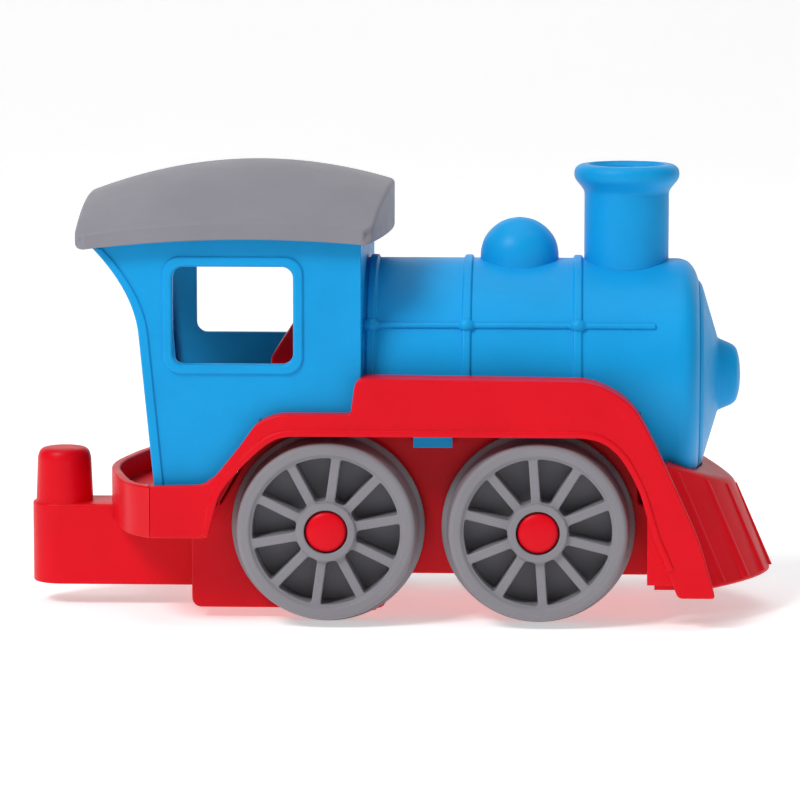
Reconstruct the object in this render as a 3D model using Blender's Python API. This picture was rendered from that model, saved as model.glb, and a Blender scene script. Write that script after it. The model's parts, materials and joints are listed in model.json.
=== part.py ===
"""Push-along toy steam locomotive, built from its separate mouldings.

Frame: the origin lies on the ground under the middle of the length, +X points to the
front, +Y to the engine's left side and +Z up. All sizes below are in millimetres.
"""
import math

import bmesh
import bpy

MM = 0.001                   # metres in one millimetre

# Fits and walls
GAP = 0.3                    # between pieces that touch
WALL = 2.4                   # moulded wall
SEAM = 0.15                  # each body half stops this far from the middle plane

# Wheels and axles
AXLES = {"rear": -22.55, "front": 45.25}      # X of each axle
AXLE_Z = 31.4
AXLE_R = 2.0
AXLE_HALF = 47.0
FLANGE_R = 31.4
WHEEL_OUT = 49.6             # distance of a wheel's outer face from the middle plane
WHEEL_IN = 31.6              # inner end of its hub
SPOKES = 10
SPOKE_W = 3.0
SPOKE_TURN = {"rear": 82.0, "front": 94.0}    # degrees, one spoke's angle above +X
POCKET_OUT = 23.7
POCKET_IN = 9.9
POCKET_FLOOR = 38.6
BORE_R = 2.1
CAP_R = 6.6

# Boiler
BOILER_Z = 76.8
BOILER_R = 37.9
BOILER_IN = BOILER_R - WALL
BANDS = (-8.9, 21.9, 57.6)   # X of the raised hoops
BAND_W = 3.0
RAIL_R = 38.2                # distance of each handrail's centre from the boiler's axis
RAIL_TURN = math.radians(30.4)
RIM_X = 92.4
NOSE_X = 97.0
BODY_LOW = 68.9              # lower edge of the boiler's sides
BODY_LOW_FRONT = 78.0        # forward of this the boiler is round right down
NOSE_BORE_R = 28.8           # hole in the boiler's front, round the door's spigot
SPIGOT_R = 28.4
CHIMNEY_X = 73.3
CHIMNEY_R = 13.8
CHIMNEY_PLUG_R = 10.7
DOME_X = 38.4
DOME_R = 12.8
POST_R = 3.8                 # screw posts

# Cab
CAB_Y = 45.0
CAB_FRONT = -11.35
CAB_REAR = -78.2             # rear edge at height CAB_REAR_Z
CAB_REAR_Z = 47.3
CAB_LEAN = 0.0955
FLARE_Z = 94.0
FLARE_K = 65.0
WINDOW = (-71.6, -33.1, 84.8, 116.0)          # X low, X high, Z low, Z high
WINDOW_R = 5.0

# Roof
ROOF = (-102.6, -2.6)
ROOF_TURN = 4.6              # rounding of the lip's four ends, seen from the side
ROOF_Y = 50.0
CROWN_X = -47.0

# Chassis
SIDE_Y = 50.6                # outer face of the fenders
FRAME_Y = 31.0               # outer face of the underframe
DEEP_Z = 3.4                 # underside of the underframe's rear block
KEEL_Z = 15.0                # underside between the wheels
DECK_Z = 64.0                # underside of the running deck
DECK_T = 2.3
TRAY_X = -79.0               # seam between the fenders and the rear tray

# Coupling arm
ARM_END = -122.5
ARM_HALF = 10.25
ARM_LOW = 7.0
ARM_TOP = 33.7
PEG_X = -112.0
PEG_TOP = 51.5

# Screws
SCREW_HEAD = 2.6
SCREW_SHANK = 1.35
BODY_SCREWS = ((11.35, 17.0), (69.5, 17.0))   # X and distance from the middle plane

BLUE = (0.017, 0.292, 0.680)
RED = (0.730, 0.008, 0.021)
GREY = (0.305, 0.300, 0.337)
WHEEL_GREY = (0.262, 0.262, 0.296)
STEEL = (0.55, 0.55, 0.56)


# ---------------------------------------------------------------- small tools

def make_material(name, colour, roughness, metallic=0.0):
    material = bpy.data.materials.new(name)
    material.use_nodes = True
    shader = material.node_tree.nodes["Principled BSDF"]
    shader.inputs["Base Color"].default_value = (*colour, 1.0)
    shader.inputs["Roughness"].default_value = roughness
    shader.inputs["Metallic"].default_value = metallic
    return material


def add_object(name, points, faces):
    """A closed mesh from points in millimetres, its faces turned outwards."""
    bm = bmesh.new()
    verts = [bm.verts.new([c * MM for c in p]) for p in points]
    for face in faces:
        bm.faces.new([verts[i] for i in face])
    bmesh.ops.recalc_face_normals(bm, faces=bm.faces)
    mesh = bpy.data.meshes.new(name)
    bm.to_mesh(mesh)
    bm.free()
    obj = bpy.data.objects.new(name, mesh)
    bpy.context.collection.objects.link(obj)
    return obj


def prism(outline, low, high, axis="Y"):
    """Extrude an outline. Axis Y takes (x, z) points and axis Z takes (x, y) points."""
    place = {"Y": lambda a, b, h: (a, h, b), "Z": lambda a, b, h: (a, b, h)}[axis]
    count = len(outline)
    points = [place(a, b, low) for a, b in outline] + [place(a, b, high) for a, b in outline]
    faces = [list(range(count)), list(range(2 * count - 1, count - 1, -1))]
    for i in range(count):
        j = (i + 1) % count
        faces.append([i, j, count + j, count + i])
    return add_object("prism", points, faces)


def box(x, y, z):
    """A block from three (low, high) pairs."""
    return prism([(x[0], z[0]), (x[1], z[0]), (x[1], z[1]), (x[0], z[1])], y[0], y[1])


def turned(profile, segments, centre, axis, phase=0.5):
    """Turn a closed (along, radius) profile about an axis; phase shifts it by part of a segment."""
    place = {"X": lambda t, u, v: (t, u, v), "Y": lambda t, u, v: (v, t, u),
             "Z": lambda t, u, v: (u, v, t)}[axis]
    points = []
    rings = []
    for along, radius in profile:
        if radius == 0:
            rings.append([len(points)])
            points.append(place(along, 0, 0))
            continue
        rings.append(list(range(len(points), len(points) + segments)))
        for k in range(segments):
            turn = 2 * math.pi * (k + phase) / segments
            points.append(place(along, radius * math.cos(turn), radius * math.sin(turn)))
    faces = []
    for i, ring in enumerate(rings):
        after = rings[(i + 1) % len(rings)]
        if len(ring) == 1 and len(after) == 1:
            continue
        for k in range(segments):
            j = (k + 1) % segments
            corners = [ring[k % len(ring)], ring[j % len(ring)],
                       after[j % len(after)], after[k % len(after)]]
            faces.append(list(dict.fromkeys(corners)))
    points = [[p[i] + centre[i] for i in range(3)] for p in points]
    return add_object("turned", points, faces)


def rod(start, end, radius, segments, axis, centre=(0, 0, 0)):
    return turned([(start, 0), (start, radius), (end, radius), (end, 0)], segments, centre, axis)


def lofted(sections):
    """A closed solid through sections with the same number of points."""
    count = len(sections[0])
    points = [p for section in sections for p in section]
    last = (len(sections) - 1) * count
    faces = [list(range(count)), list(range(last + count - 1, last - 1, -1))]
    for s in range(len(sections) - 1):
        for i in range(count):
            j = (i + 1) % count
            a, b = s * count, (s + 1) * count
            faces += [[a + i, a + j, b + j], [a + i, b + j, b + i]]
    return add_object("lofted", points, faces)


def boolean(target, other, operation):
    """Join, cut or intersect target with other, which is used up."""
    modifier = target.modifiers.new("boolean", "BOOLEAN")
    modifier.operation = operation
    modifier.solver = "EXACT"
    modifier.object = other
    bpy.context.view_layer.update()
    graph = bpy.context.evaluated_depsgraph_get()
    mesh = bpy.data.meshes.new_from_object(target.evaluated_get(graph))
    target.modifiers.clear()
    old = target.data
    target.data = mesh
    bpy.data.meshes.remove(old)
    bpy.data.objects.remove(other)
    return target


def join(target, *others):
    for other in others:
        boolean(target, other, "UNION")
    return target


def cut(target, *others):
    for other in others:
        boolean(target, other, "DIFFERENCE")
    return target


def mirrored(obj, name):
    """A second object on the other side of the middle plane."""
    bm = bmesh.new()
    bm.from_mesh(obj.data)
    bmesh.ops.scale(bm, vec=(1, -1, 1), verts=bm.verts)
    bmesh.ops.reverse_faces(bm, faces=bm.faces)
    mesh = bpy.data.meshes.new(name)
    bm.to_mesh(mesh)
    bm.free()
    copy = bpy.data.objects.new(name, mesh)
    bpy.context.collection.objects.link(copy)
    return copy


def finish(obj, name, material, smooth=30):
    """Name a finished piece, give it its material and shade its round faces smooth."""
    obj.name = name
    obj.data.name = name
    obj.data.materials.clear()
    obj.data.materials.append(material)
    obj.data.shade_smooth()
    obj.data.set_sharp_from_angle(angle=math.radians(smooth))
    return obj


def rounded(corners, radius, steps=3):
    """Round the corners of a closed outline; a corner may carry its own radius as a third value."""
    outline = []
    count = len(corners)
    for i, corner in enumerate(corners):
        r = corner[2] if len(corner) > 2 else radius
        x, y = corner[:2]
        if r == 0:
            outline.append((x, y))
            continue
        before, after = corners[i - 1], corners[(i + 1) % count]
        in_x, in_y = before[0] - x, before[1] - y
        out_x, out_y = after[0] - x, after[1] - y
        in_len, out_len = math.hypot(in_x, in_y), math.hypot(out_x, out_y)
        in_x, in_y, out_x, out_y = in_x / in_len, in_y / in_len, out_x / out_len, out_y / out_len
        half = math.acos(max(-1, min(1, in_x * out_x + in_y * out_y))) / 2
        reach = r / math.tan(half)
        mid_x, mid_y = in_x + out_x, in_y + out_y
        mid = math.hypot(mid_x, mid_y)
        centre = (x + mid_x / mid * r / math.sin(half), y + mid_y / mid * r / math.sin(half))
        first = math.atan2(y + in_y * reach - centre[1], x + in_x * reach - centre[0])
        last = math.atan2(y + out_y * reach - centre[1], x + out_x * reach - centre[0])
        sweep = (last - first + math.pi) % (2 * math.pi) - math.pi
        for k in range(steps + 1):
            turn = first + sweep * k / steps
            outline.append((centre[0] + r * math.cos(turn), centre[1] + r * math.sin(turn)))
    return outline


def shifted(path, distance):
    """An open path moved sideways; a positive distance moves it to the left of its direction."""
    moved = []
    for i, (x, y) in enumerate(path):
        before = path[max(i - 1, 0)]
        after = path[min(i + 1, len(path) - 1)]
        directions = []
        for a, b in ((before, (x, y)), ((x, y), after)):
            length = math.hypot(b[0] - a[0], b[1] - a[1])
            if length > 0:
                directions.append(((b[0] - a[0]) / length, (b[1] - a[1]) / length))
        nx = -sum(d[1] for d in directions)
        ny = sum(d[0] for d in directions)
        size = math.hypot(nx, ny)
        nx, ny = nx / size, ny / size
        square = -nx * directions[0][1] + ny * directions[0][0]
        moved.append((x + nx * distance / square, y + ny * distance / square))
    return moved


def strip(path, width):
    """A closed band between a path and its shifted copy."""
    return path + shifted(path, width)[::-1]


# ---------------------------------------------------------------- shared shapes

def cab_rear(z):
    """X of the cab's rear edge: a slight lean that flares out under the roof."""
    flare = max(0.0, min(z, 122.0) - FLARE_Z) ** 2 / FLARE_K
    return CAB_REAR - CAB_LEAN * (z - CAB_REAR_Z) - flare


def crown_z(x):
    return 147.0 - (x - CROWN_X) ** 2 / 286.0


def eave_z(x):
    return 130.4 - (x - CROWN_X) ** 2 / 736.0


def lip_z(x):
    return 125.1 - (x - CROWN_X) ** 2 / 773.0


def vault_z(x, y):
    """Height of the roof's outer skin."""
    return eave_z(x) + (crown_z(x) - eave_z(x)) * (1 - (y / ROOF_Y) ** 2)


def fender_lower():
    """Lower edge of a fender from the foot of its rear end to the foot of its front leg."""
    return [(-58.4, 29.2), (-57.4, 42.2), (-55.2, 45.8), (-51.2, 50.6), (-46.4, 55.6),
            (-41.5, 59.8), (-37.8, 61.8), (-34.0, 62.4), (60.6, 62.4), (66.4, 60.8),
            (71.2, 56.6), (74.3, 51.8), (77.6, 45.4), (80.0, 37.4), (82.4, 29.3),
            (85.5, 22.9), (90.0, 10.7)]


def fender_leg_edge():
    """Front edge of a fender's leg, from its foot up."""
    return [(102.0, 10.7), (96.7, 29.3), (84.6, 55.6)]


def fender_shoulder():
    """Top of a fender beside the boiler, from above the leg back to the cab."""
    return [(82.4, 59.8), (79.2, 66.2), (75.9, 71.7), (71.2, 75.8), (64.9, 79.0), (60.0, 80.3),
            (-10.4, 81.0)]


def fender_slope():
    """Top of a fender beside the cab, down to the rear tray."""
    return [(-12.6, 80.2), (-13.4, 78.0), (-14.5, 69.4), (-36.9, 69.4), (-40.7, 68.4),
            (-44.8, 66.2), (-49.6, 59.2), (-54.4, 53.4), (-58.2, 48.6), (-62.2, 46.3)]


# ---------------------------------------------------------------- red mouldings

def make_fender():
    """One side moulding: outer skin, top, inner brackets, front leg and rear wall."""
    lower, shoulder, slope = fender_lower(), fender_shoulder(), fender_slope()
    rear_wall = [(TRAY_X + GAP, 46.0), (TRAY_X + GAP, 29.2)]
    skin = prism(lower + fender_leg_edge() + shoulder + slope + rear_wall,
                 -SIDE_Y, -SIDE_Y + WALL)
    bead = prism(strip(lower, 2.2), -SIDE_Y - 0.8, -SIDE_Y + 1.2)
    top_front = prism(strip(shoulder, WALL), -SIDE_Y + 1.0, -BOILER_R - 1.2)
    rear_top = [(shoulder[-1][0] + WALL, shoulder[-1][1])] + shoulder[-1:] + slope
    top_rear = prism(strip(rear_top, WALL), -SIDE_Y + 1.0, -CAB_Y - GAP)
    leg = prism([(74.6, 52.6), (80.2, 37.4), (84.0, 27.0), (90.4, 11.1), (101.4, 11.1),
                 (96.3, 29.0), (84.2, 55.0)], -SIDE_Y + 1.0, -43.6)
    heel = prism([(80.2, 14.4), (90.0, 14.4), (90.0, 40.0), (80.2, 40.0)], -47.0, -43.4)
    brackets = [box(span, (-SIDE_Y + 1.0, -30.4), (DECK_Z + DECK_T + GAP, 68.6))
                for span in ((-9.0, 4.2), (18.4, 32.0), (60.0, 76.0))]
    return join(skin, bead, top_front, top_rear, leg, heel, *brackets)


def tray_outline(inset):
    """Plan of the rear tray, D-shaped, from the right seam round the rear to the left seam."""
    corners = [(TRAY_X, 50.6 - inset), (-86.3 + inset * 0.8, 43.5 - inset * 0.7),
               (-90.2 + inset, 33.0 - inset * 0.3), (-93.2 + inset, 20.0),
               (-95.4 + inset, 9.0), (-96.2 + inset, 0.0)]
    return [(x, -y) for x, y in corners] + corners[-2::-1]


def make_rear_tray():
    """D-shaped wall round a low floor that carries on forward under the cab."""
    wall_low, wall_high, floor_low, floor_high = 29.2, 45.9, 38.0, 40.5
    tray = prism(tray_outline(0), wall_low, wall_high, "Z")
    cut(tray, prism([(-60.0, y) if abs(x - TRAY_X) < 0.01 else (x, y)
                     for x, y in tray_outline(2.8)], floor_high, wall_high + 5, "Z"))
    cut(tray, prism([(-60.0, y) if abs(x - TRAY_X) < 0.01 else (x, y)
                     for x, y in tray_outline(2.8)], wall_low - 5, floor_low, "Z"))
    cut(tray, box((-110.0, -80.0), (-ARM_HALF - GAP, ARM_HALF + GAP), (20.0, ARM_TOP + GAP)))
    floor_y = SIDE_Y - WALL - GAP
    return join(tray, box((TRAY_X - 3.0, -58.2), (-floor_y + 0.5, floor_y - 0.5),
                          (floor_low, floor_high)))


def make_deck():
    """Running deck: a ramp up from the tray floor, the cab floor and the boiler's base plate."""
    ramp = [(-57.7, 38.6), (-43.2, DECK_Z), (-13.0, DECK_Z), (-13.0, DECK_Z + DECK_T),
            (-44.4, DECK_Z + DECK_T), (-57.7, 42.8)]
    deck = prism(ramp, -CAB_Y + WALL + GAP, CAB_Y - WALL - GAP)
    join(deck, box((-14.5, 77.4), (-33.4, 33.4), (DECK_Z, DECK_Z + DECK_T)))
    for x, y in BODY_SCREWS:
        for side in (-1, 1):
            cut(deck, rod(DECK_Z - 2, DECK_Z + 5, SCREW_SHANK + GAP, 8, "Z", (x, side * y, 0)))
    return deck


def make_underframe():
    """Trough between the wheels: axle slots, keeper bosses and screw posts."""
    outline = rounded([(-67.2, DEEP_Z, 2.5), (-4.0, DEEP_Z, 2.5), (-4.0, KEEL_Z, 0),
                       (90.0, KEEL_Z, 2.0), (90.0, 36.0, 0), (77.4, 38.0, 0),
                       (77.4, DECK_Z - GAP, 0), (-42.6, DECK_Z - GAP, 0), (-57.6, 37.7, 0),
                       (-67.2, 37.7, 0)], 0)
    frame = prism(outline, -FRAME_Y, FRAME_Y)
    hollow = [(-67.2 + WALL, DEEP_Z + WALL), (-4.0 - WALL, DEEP_Z + WALL),
              (-4.0 - WALL, KEEL_Z + WALL), (90.0 - WALL, KEEL_Z + WALL), (90.0 - WALL, 50.0),
              (77.4 - WALL, 50.0), (77.4 - WALL, 80.0), (-67.2 + WALL, 80.0)]
    cut(frame, prism(hollow, -FRAME_Y + WALL, FRAME_Y - WALL))
    for side in (-1, 1):
        for x, y in BODY_SCREWS:
            join(frame, rod(KEEL_Z + 1, DECK_Z - GAP, 4.4, 12, "Z", (x, side * y, 0)))
    for name, x in AXLES.items():
        low = DEEP_Z if name == "rear" else KEEL_Z
        for step in (-10.5, 10.5):
            join(frame, rod(low + 1, low + 10, POST_R, 12, "Z", (x + step, 0, 0)))
            cut(frame, rod(low - 3, low + 8, SCREW_SHANK + 0.2, 8, "Z", (x + step, 0, 0)))
        slot = [(x - 2.4, low - 3), (x + 2.4, low - 3), (x + 2.4, AXLE_Z)]
        slot += [(x + 2.4 * math.cos(t * math.pi / 6), AXLE_Z + 2.4 * math.sin(t * math.pi / 6))
                 for t in range(1, 6)]
        slot.append((x - 2.4, AXLE_Z))
        cut(frame, prism(slot, -FRAME_Y - 3, FRAME_Y + 3))
    for side in (-1, 1):
        for x, y in BODY_SCREWS:
            cut(frame, rod(KEEL_Z - 3, 55.0, 3.0, 12, "Z", (x, side * y, 0)))
            cut(frame, rod(50.0, DECK_Z + 3, SCREW_SHANK + GAP, 8, "Z", (x, side * y, 0)))
    cut(frame, box((-70.0, -60.0), (-8.3, 8.3), (8.0, 30.0)))
    cut(frame, turned([(DEEP_Z - 0.5, 0), (DEEP_Z - 0.5, 3.4), (DEEP_Z + 1.3, 1.65),
                       (DEEP_Z + 5, 1.65), (DEEP_Z + 5, 0)], 12, (-59.0, 0, 0), "Z"))
    return frame


def make_keeper(name):
    """Plate under an axle, with two tongues that close its bearing slots."""
    x = AXLES[name]
    top = (DEEP_Z if name == "rear" else KEEL_Z) - GAP
    plate = prism(rounded([(x - 15, -24), (x + 15, -24), (x + 15, 24), (x - 15, 24)], 3.0),
                  top - 1.8, top, "Z")
    join(plate, *[box((x - 2.1, x + 2.1), (side * 26.4 - 4.2, side * 26.4 + 4.2),
                      (top - 1.8, AXLE_Z - AXLE_R - 0.1)) for side in (-1, 1)])
    for step in (-10.5, 10.5):
        cut(plate, turned([(top - 2.3, 0), (top - 2.3, 3.3), (top + 0.5, 1.6), (top + 0.5, 0)],
                          12, (x + step, 0, 0), "Z"))
    return plate


def make_keeper_screw(name, step):
    low = (DEEP_Z if name == "rear" else KEEL_Z) - GAP - 1.8
    return turned([(low, 0), (low, 2.7), (low + 1.7, SCREW_SHANK), (low + 8.6, SCREW_SHANK),
                   (low + 9.2, 0)], 12, (AXLES[name] + step, 0, 0), "Z")


def make_body_screw(x, y):
    return turned([(52.9, 0), (52.9, SCREW_HEAD), (54.7, SCREW_HEAD), (54.7, SCREW_SHANK),
                   (77.4, SCREW_SHANK), (78.4, 0)], 12, (x, y, 0), "Z")


def make_coupling_arm():
    """Tongue with a round end and an upright peg, hollow from below, and a shank for its screw."""
    def plan(front, inset, steps):
        reach = ARM_HALF - inset
        turns = [math.pi * k / steps for k in range(steps + 1)]
        return ([(front, -reach)]
                + [(ARM_END + ARM_HALF - reach * math.sin(t), -reach * math.cos(t)) for t in turns]
                + [(front, reach)])

    arm = prism(plan(-67.5, 0, 12), ARM_LOW, ARM_TOP, "Z")
    peg = [(ARM_TOP - 2, 0), (ARM_TOP - 2, 9.4), (48.8, 8.8), (50.6, 8.0), (PEG_TOP, 6.2),
           (PEG_TOP, 0)]
    join(arm, turned(peg, 24, (PEG_X, 0, 0), "Z"))
    cut(arm, prism(plan(-72.0, WALL, 8), ARM_LOW - 3, ARM_TOP - WALL, "Z"))
    cut(arm, rod(ARM_TOP - 6, PEG_TOP - WALL, 6.4, 16, "Z", (PEG_X, 0, 0)))
    join(arm, box((-70.0, -52.0), (-8.0, 8.0), (8.3, 29.7)))
    return cut(arm, rod(ARM_LOW - 3, 20.0, SCREW_SHANK + 0.2, 12, "Z", (-59.0, 0, 0)))


def make_coupling_screw():
    low = DEEP_Z + 0.05
    return turned([(low, 0), (low, 2.6), (low + 1.25, SCREW_SHANK), (17.4, SCREW_SHANK),
                   (18.2, 0)], 12, (-59.0, 0, 0), "Z")


def catcher_foot(y):
    """X of the cowcatcher's lower front edge at a distance y from the middle plane."""
    return 121.5 - 0.0428 * abs(y) ** 1.665


def catcher_section(y, grow, low):
    """Section at y: rear, foot, front edge of the sloping top and rear of the top."""
    foot = catcher_foot(y)
    brow = (foot - 31.82) / 0.8225
    return [(82.6 - 4 * (grow < 0), y, low), (foot + grow, y, low),
            (brow + grow, y, 53.0 - 0.433 * (brow - 85.0) + min(grow, 0)),
            (82.6 - 4 * (grow < 0), y, 54.0 + min(grow, 0))]


def make_cowcatcher():
    """Swept pilot: a hollow wedge with raised slanting ribs, notched for the smokebox."""
    foot_z = 12.2
    outer = [catcher_section(-43.0 + 86.0 * i / 16, 0, foot_z) for i in range(17)]
    inner = [catcher_section(-40.6 + 81.2 * i / 12, -WALL, foot_z - 5) for i in range(13)]
    pilot = cut(lofted(outer), lofted(inner))
    for y in range(-36, 37, 12):
        rib = []
        for step in (-1.5, 1.5):
            section = catcher_section(y + step, 1.0, foot_z + 1.5)
            back = [(p[0] - 2.0, p[1], p[2]) for p in section[1:3]]
            rib.append([section[1], section[2], back[1], back[0]])
        for side in rib:
            for k in (1, 2):
                side[k] = (side[k][0] + 0.7, side[k][1], side[k][2] - 1.8)
        join(pilot, lofted(rib))
    notch = turned([(70.0, 0), (70.0, BOILER_R + 0.6), (NOSE_X + 1.0, BOILER_R + 0.6),
                    (100.4, 30.4), (105.0, 13.0), (105.0, 0)], 40, (0, 0, BOILER_Z), "X")
    return cut(pilot, notch, box((80.0, 86.4), (-37.6, 37.6), (30.0, 60.0)))


def make_console():
    """Driver's desk on a pedestal in front of the boiler's open end."""
    floor = DECK_Z + DECK_T + GAP
    outline = [(-33.0, floor), (-17.0, floor), (-17.0, 95.0), (-24.0, 107.0), (-27.6, 105.0),
               (-42.6, 81.6), (-41.6, 78.4), (-37.6, 78.2), (-33.0, 85.0)]
    return prism(outline, -16.0, 16.0)


# ---------------------------------------------------------------- blue mouldings

def under_roof():
    """Everything below the roof's inner skin, to trim the top of the cab."""
    columns, rows = 8, 12
    sections = []
    for i in range(columns + 1):
        x = -106.0 + 100.0 * i / columns
        top = [(x, -60.0 + 120.0 * j / rows,
                vault_z(x, min(abs(-60.0 + 120.0 * j / rows), 48.0)) - WALL - 3 * GAP)
               for j in range(rows + 1)]
        sections.append([(x, -60.0, 20.0)] + top + [(x, 60.0, 20.0)])
    return lofted(sections)


def boiler_profile():
    """Outer (x, radius) line of the boiler with its raised hoops and rounded front rim."""
    line = [(CAB_FRONT - 1.2, BOILER_R)]
    for x in BANDS:
        line += [(x - BAND_W / 2, BOILER_R), (x - BAND_W / 2 + 0.4, BOILER_R + 1.0),
                 (x + BAND_W / 2 - 0.4, BOILER_R + 1.0), (x + BAND_W / 2, BOILER_R)]
    line = [(max(x, CAB_FRONT - 1.2), r) for x, r in line]
    return line + [(RIM_X - 1.4, BOILER_R), (RIM_X + 1.2, 37.0), (RIM_X + 3.4, 34.4),
                   (NOSE_X, 30.9)]


def rail_profile():
    """A thin straight handrail with a round knob where it crosses each hoop."""
    line = [(-12.2, 0), (-12.2, 0.95)]
    for x in BANDS:
        line += [(x - 2.3, 0.95), (x - 1.6, 1.8), (x, 2.4), (x + 1.6, 1.8), (x + 2.3, 0.95)]
    return line + [(82.6, 0.95), (82.6, 0)]


def make_cab():
    """Side walls, front wall and inturned rear edges, trimmed under the roof."""
    heights = [40.8, 70.0, FLARE_Z, 101.0, 107.0, 112.0, 117.0, 122.0, 150.0]
    rear = [(cab_rear(z), z) for z in heights]
    lower = [(CAB_FRONT, 150.0), (CAB_FRONT, 66.9), (-43.5, 66.9), (-57.0, 44.5), (-58.6, 40.8)]
    cab = prism(rear + lower, -CAB_Y, CAB_Y)
    inner = [(x + WALL, z) for x, z in [(cab_rear(20.0), 20.0)] + rear[1:-1]
             + [(cab_rear(170.0), 170.0)]]
    inner += [(CAB_FRONT - WALL, 170.0), (CAB_FRONT - WALL, 20.0)]
    cut(cab, prism(inner, -CAB_Y + WALL, CAB_Y - WALL))
    cut(cab, box((-130.0, -70.0), (-40.0, 40.0), (20.0, 170.0)))
    boolean(cab, under_roof(), "INTERSECT")
    bead = prism([(cab_rear(z) + 0.02, z) for z in [42.0] + heights[1:-1]]
                 + [(cab_rear(z) + 3.2, z) for z in heights[-2:0:-1] + [42.0]],
                 -CAB_Y - 0.8, -CAB_Y + 1.2)
    left_bead = mirrored(bead, "bead")
    return join(cab, bead, left_bead)


def window_outline(grow):
    x0, x1, z0, z1 = WINDOW
    return rounded([(x0 - grow, z0 - grow), (x1 + grow, z0 - grow),
                    (x1 + grow, z1 + grow), (x0 - grow, z1 + grow)], WINDOW_R + grow * 0.6)


def make_body():
    """Cab, boiler, dome and handrails as one shell; it is then split on the middle plane."""
    body = make_cab()
    outer = boiler_profile()
    inner = [(NOSE_X, NOSE_BORE_R), (NOSE_X - WALL, NOSE_BORE_R), (NOSE_X - WALL, 32.0),
             (RIM_X, BOILER_IN),
             (outer[0][0], BOILER_IN)]
    barrel = turned(outer + inner, 36, (0, 0, BOILER_Z), "X")
    cut(barrel, box((CAB_FRONT - 5, BODY_LOW_FRONT), (-60, 60), (20.0, BODY_LOW)))
    dome = [(111.6, 0), (111.6, DOME_R), (117.5, DOME_R), (121.6, 11.6), (125.2, 8.6),
            (127.6, 4.6), (128.3, 0)]
    join(barrel, turned(dome, 24, (DOME_X, 0, 0), "Z"))
    for side in (-1, 1):
        join(barrel, box((5.0, 17.5), sorted((side * 34.2, side * 36.6)), (57.0, 71.5)),
             box((5.6, 16.9), sorted((side * 31.7, side * 35.0)), (60.2, 63.6)))
        place = (0, side * RAIL_R * math.cos(RAIL_TURN), BOILER_Z + RAIL_R * math.sin(RAIL_TURN))
        join(barrel, turned(rail_profile(), 8, place, "X", 0.2))
    dome_in = [(105.0, 0), (105.0, 10.4), (117.2, 10.4), (120.4, 9.2), (124.0, 5.6), (125.6, 0)]
    cut(barrel, turned(dome_in, 24, (DOME_X, 0, 0), "Z"))
    hole = [(100, 0), (100, CHIMNEY_PLUG_R + GAP), (125, CHIMNEY_PLUG_R + GAP), (125, 0)]
    cut(barrel, turned(hole, 22, (CHIMNEY_X, 0, 0), "Z", 0.3))
    cut(body, turned([(CAB_FRONT - 9, 0), (CAB_FRONT - 9, BOILER_R - 0.8),
                      (CAB_FRONT + 5, BOILER_R - 0.8), (CAB_FRONT + 5, 0)],
                     32, (0, 0, BOILER_Z), "X", 0.3))
    join(body, barrel)
    frames = [prism(window_outline(3.3), *sorted((side * (CAB_Y - 1.2), side * (CAB_Y + 0.9))))
              for side in (-1, 1)]
    join(body, *frames)
    cut(body, prism(window_outline(0), -60, 60))
    for side in (-1, 1):
        for x, y in BODY_SCREWS:
            join(body, rod(DECK_Z + DECK_T + GAP, 107.4, POST_R, 12, "Z", (x, side * y, 0)))
            cut(body, rod(60.0, 82.0, SCREW_SHANK + 0.2, 8, "Z", (x, side * y, 0)))
    return body


def split_body(body, side):
    """The half of the shell on one side, with a fine seam at the middle plane."""
    half = body.copy()
    half.data = body.data.copy()
    bpy.context.collection.objects.link(half)
    low, high = sorted((side * SEAM, side * 80.0))
    return boolean(half, box((-200, 200), (low, high), (-10, 200)), "INTERSECT")


def make_door():
    """Smokebox front: a shallow cone with a round knob, on a spigot inside the rim."""
    face = NOSE_X + GAP
    profile = [(91.0, 0), (91.0, SPIGOT_R), (face, SPIGOT_R), (face, 30.9), (98.2, 29.4), (103.4, 12.0),
               (104.2, 11.6), (108.2, 9.9), (109.6, 8.6), (110.6, 5.0), (110.9, 0)]
    door = turned(profile, 32, (0, 0, BOILER_Z), "X")
    return cut(door, turned([(85.0, 0), (85.0, 26.0), (97.6, 26.0), (101.4, 9.6), (106.4, 7.6),
                             (106.4, 0)], 24, (0, 0, BOILER_Z), "X"))


def make_chimney():
    """Turned chimney with a rolled lip, seated on the boiler by a saddle and a plug."""
    outer = [(100.0, 0), (100.0, CHIMNEY_R), (137.0, CHIMNEY_R), (138.6, 15.0), (141.0, 17.0),
             (142.9, 17.4), (144.6, 16.8), (145.7, 15.2), (145.7, 12.0), (145.7, 0)]
    chimney = turned(outer, 24, (CHIMNEY_X, 0, 0), "Z")
    cut(chimney, rod(CHIMNEY_X - 30, CHIMNEY_X + 30, BOILER_R + GAP, 64, "X", (0, 0, BOILER_Z)))
    join(chimney, rod(107.6, 118.0, CHIMNEY_PLUG_R, 24, "Z", (CHIMNEY_X, 0, 0)))
    return cut(chimney, turned([(100.0, 0), (100.0, 8.2), (120.0, 8.2), (122.0, 10.4),
                                (144.0, 10.8), (147.0, 12.6), (147.0, 0)], 24,
                               (CHIMNEY_X, 0, 0), "Z"))


# ---------------------------------------------------------------- roof and running gear

def lip_end_z(x):
    """Height of the lip's lower edge, which rounds up towards the roof's front and rear."""
    inside = min(x - ROOF[0], ROOF[1] - x, ROOF_TURN)
    return lip_z(x) + ROOF_TURN - math.sqrt(ROOF_TURN ** 2 - (ROOF_TURN - inside) ** 2)


def roof_sections(away, places, low):
    """Sections of the roof at some x places, inset by away; low(x) gives their lower edge."""
    rows = 12
    reach = ROOF_Y - away
    sections = []
    for x in places:
        section = [(x, y, vault_z(x, y) - away)
                   for y in (-reach + 2 * reach * j / rows for j in range(rows + 1))]
        sections.append([(x, -reach, low(x))] + section + [(x, reach, low(x))])
    return sections


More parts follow.
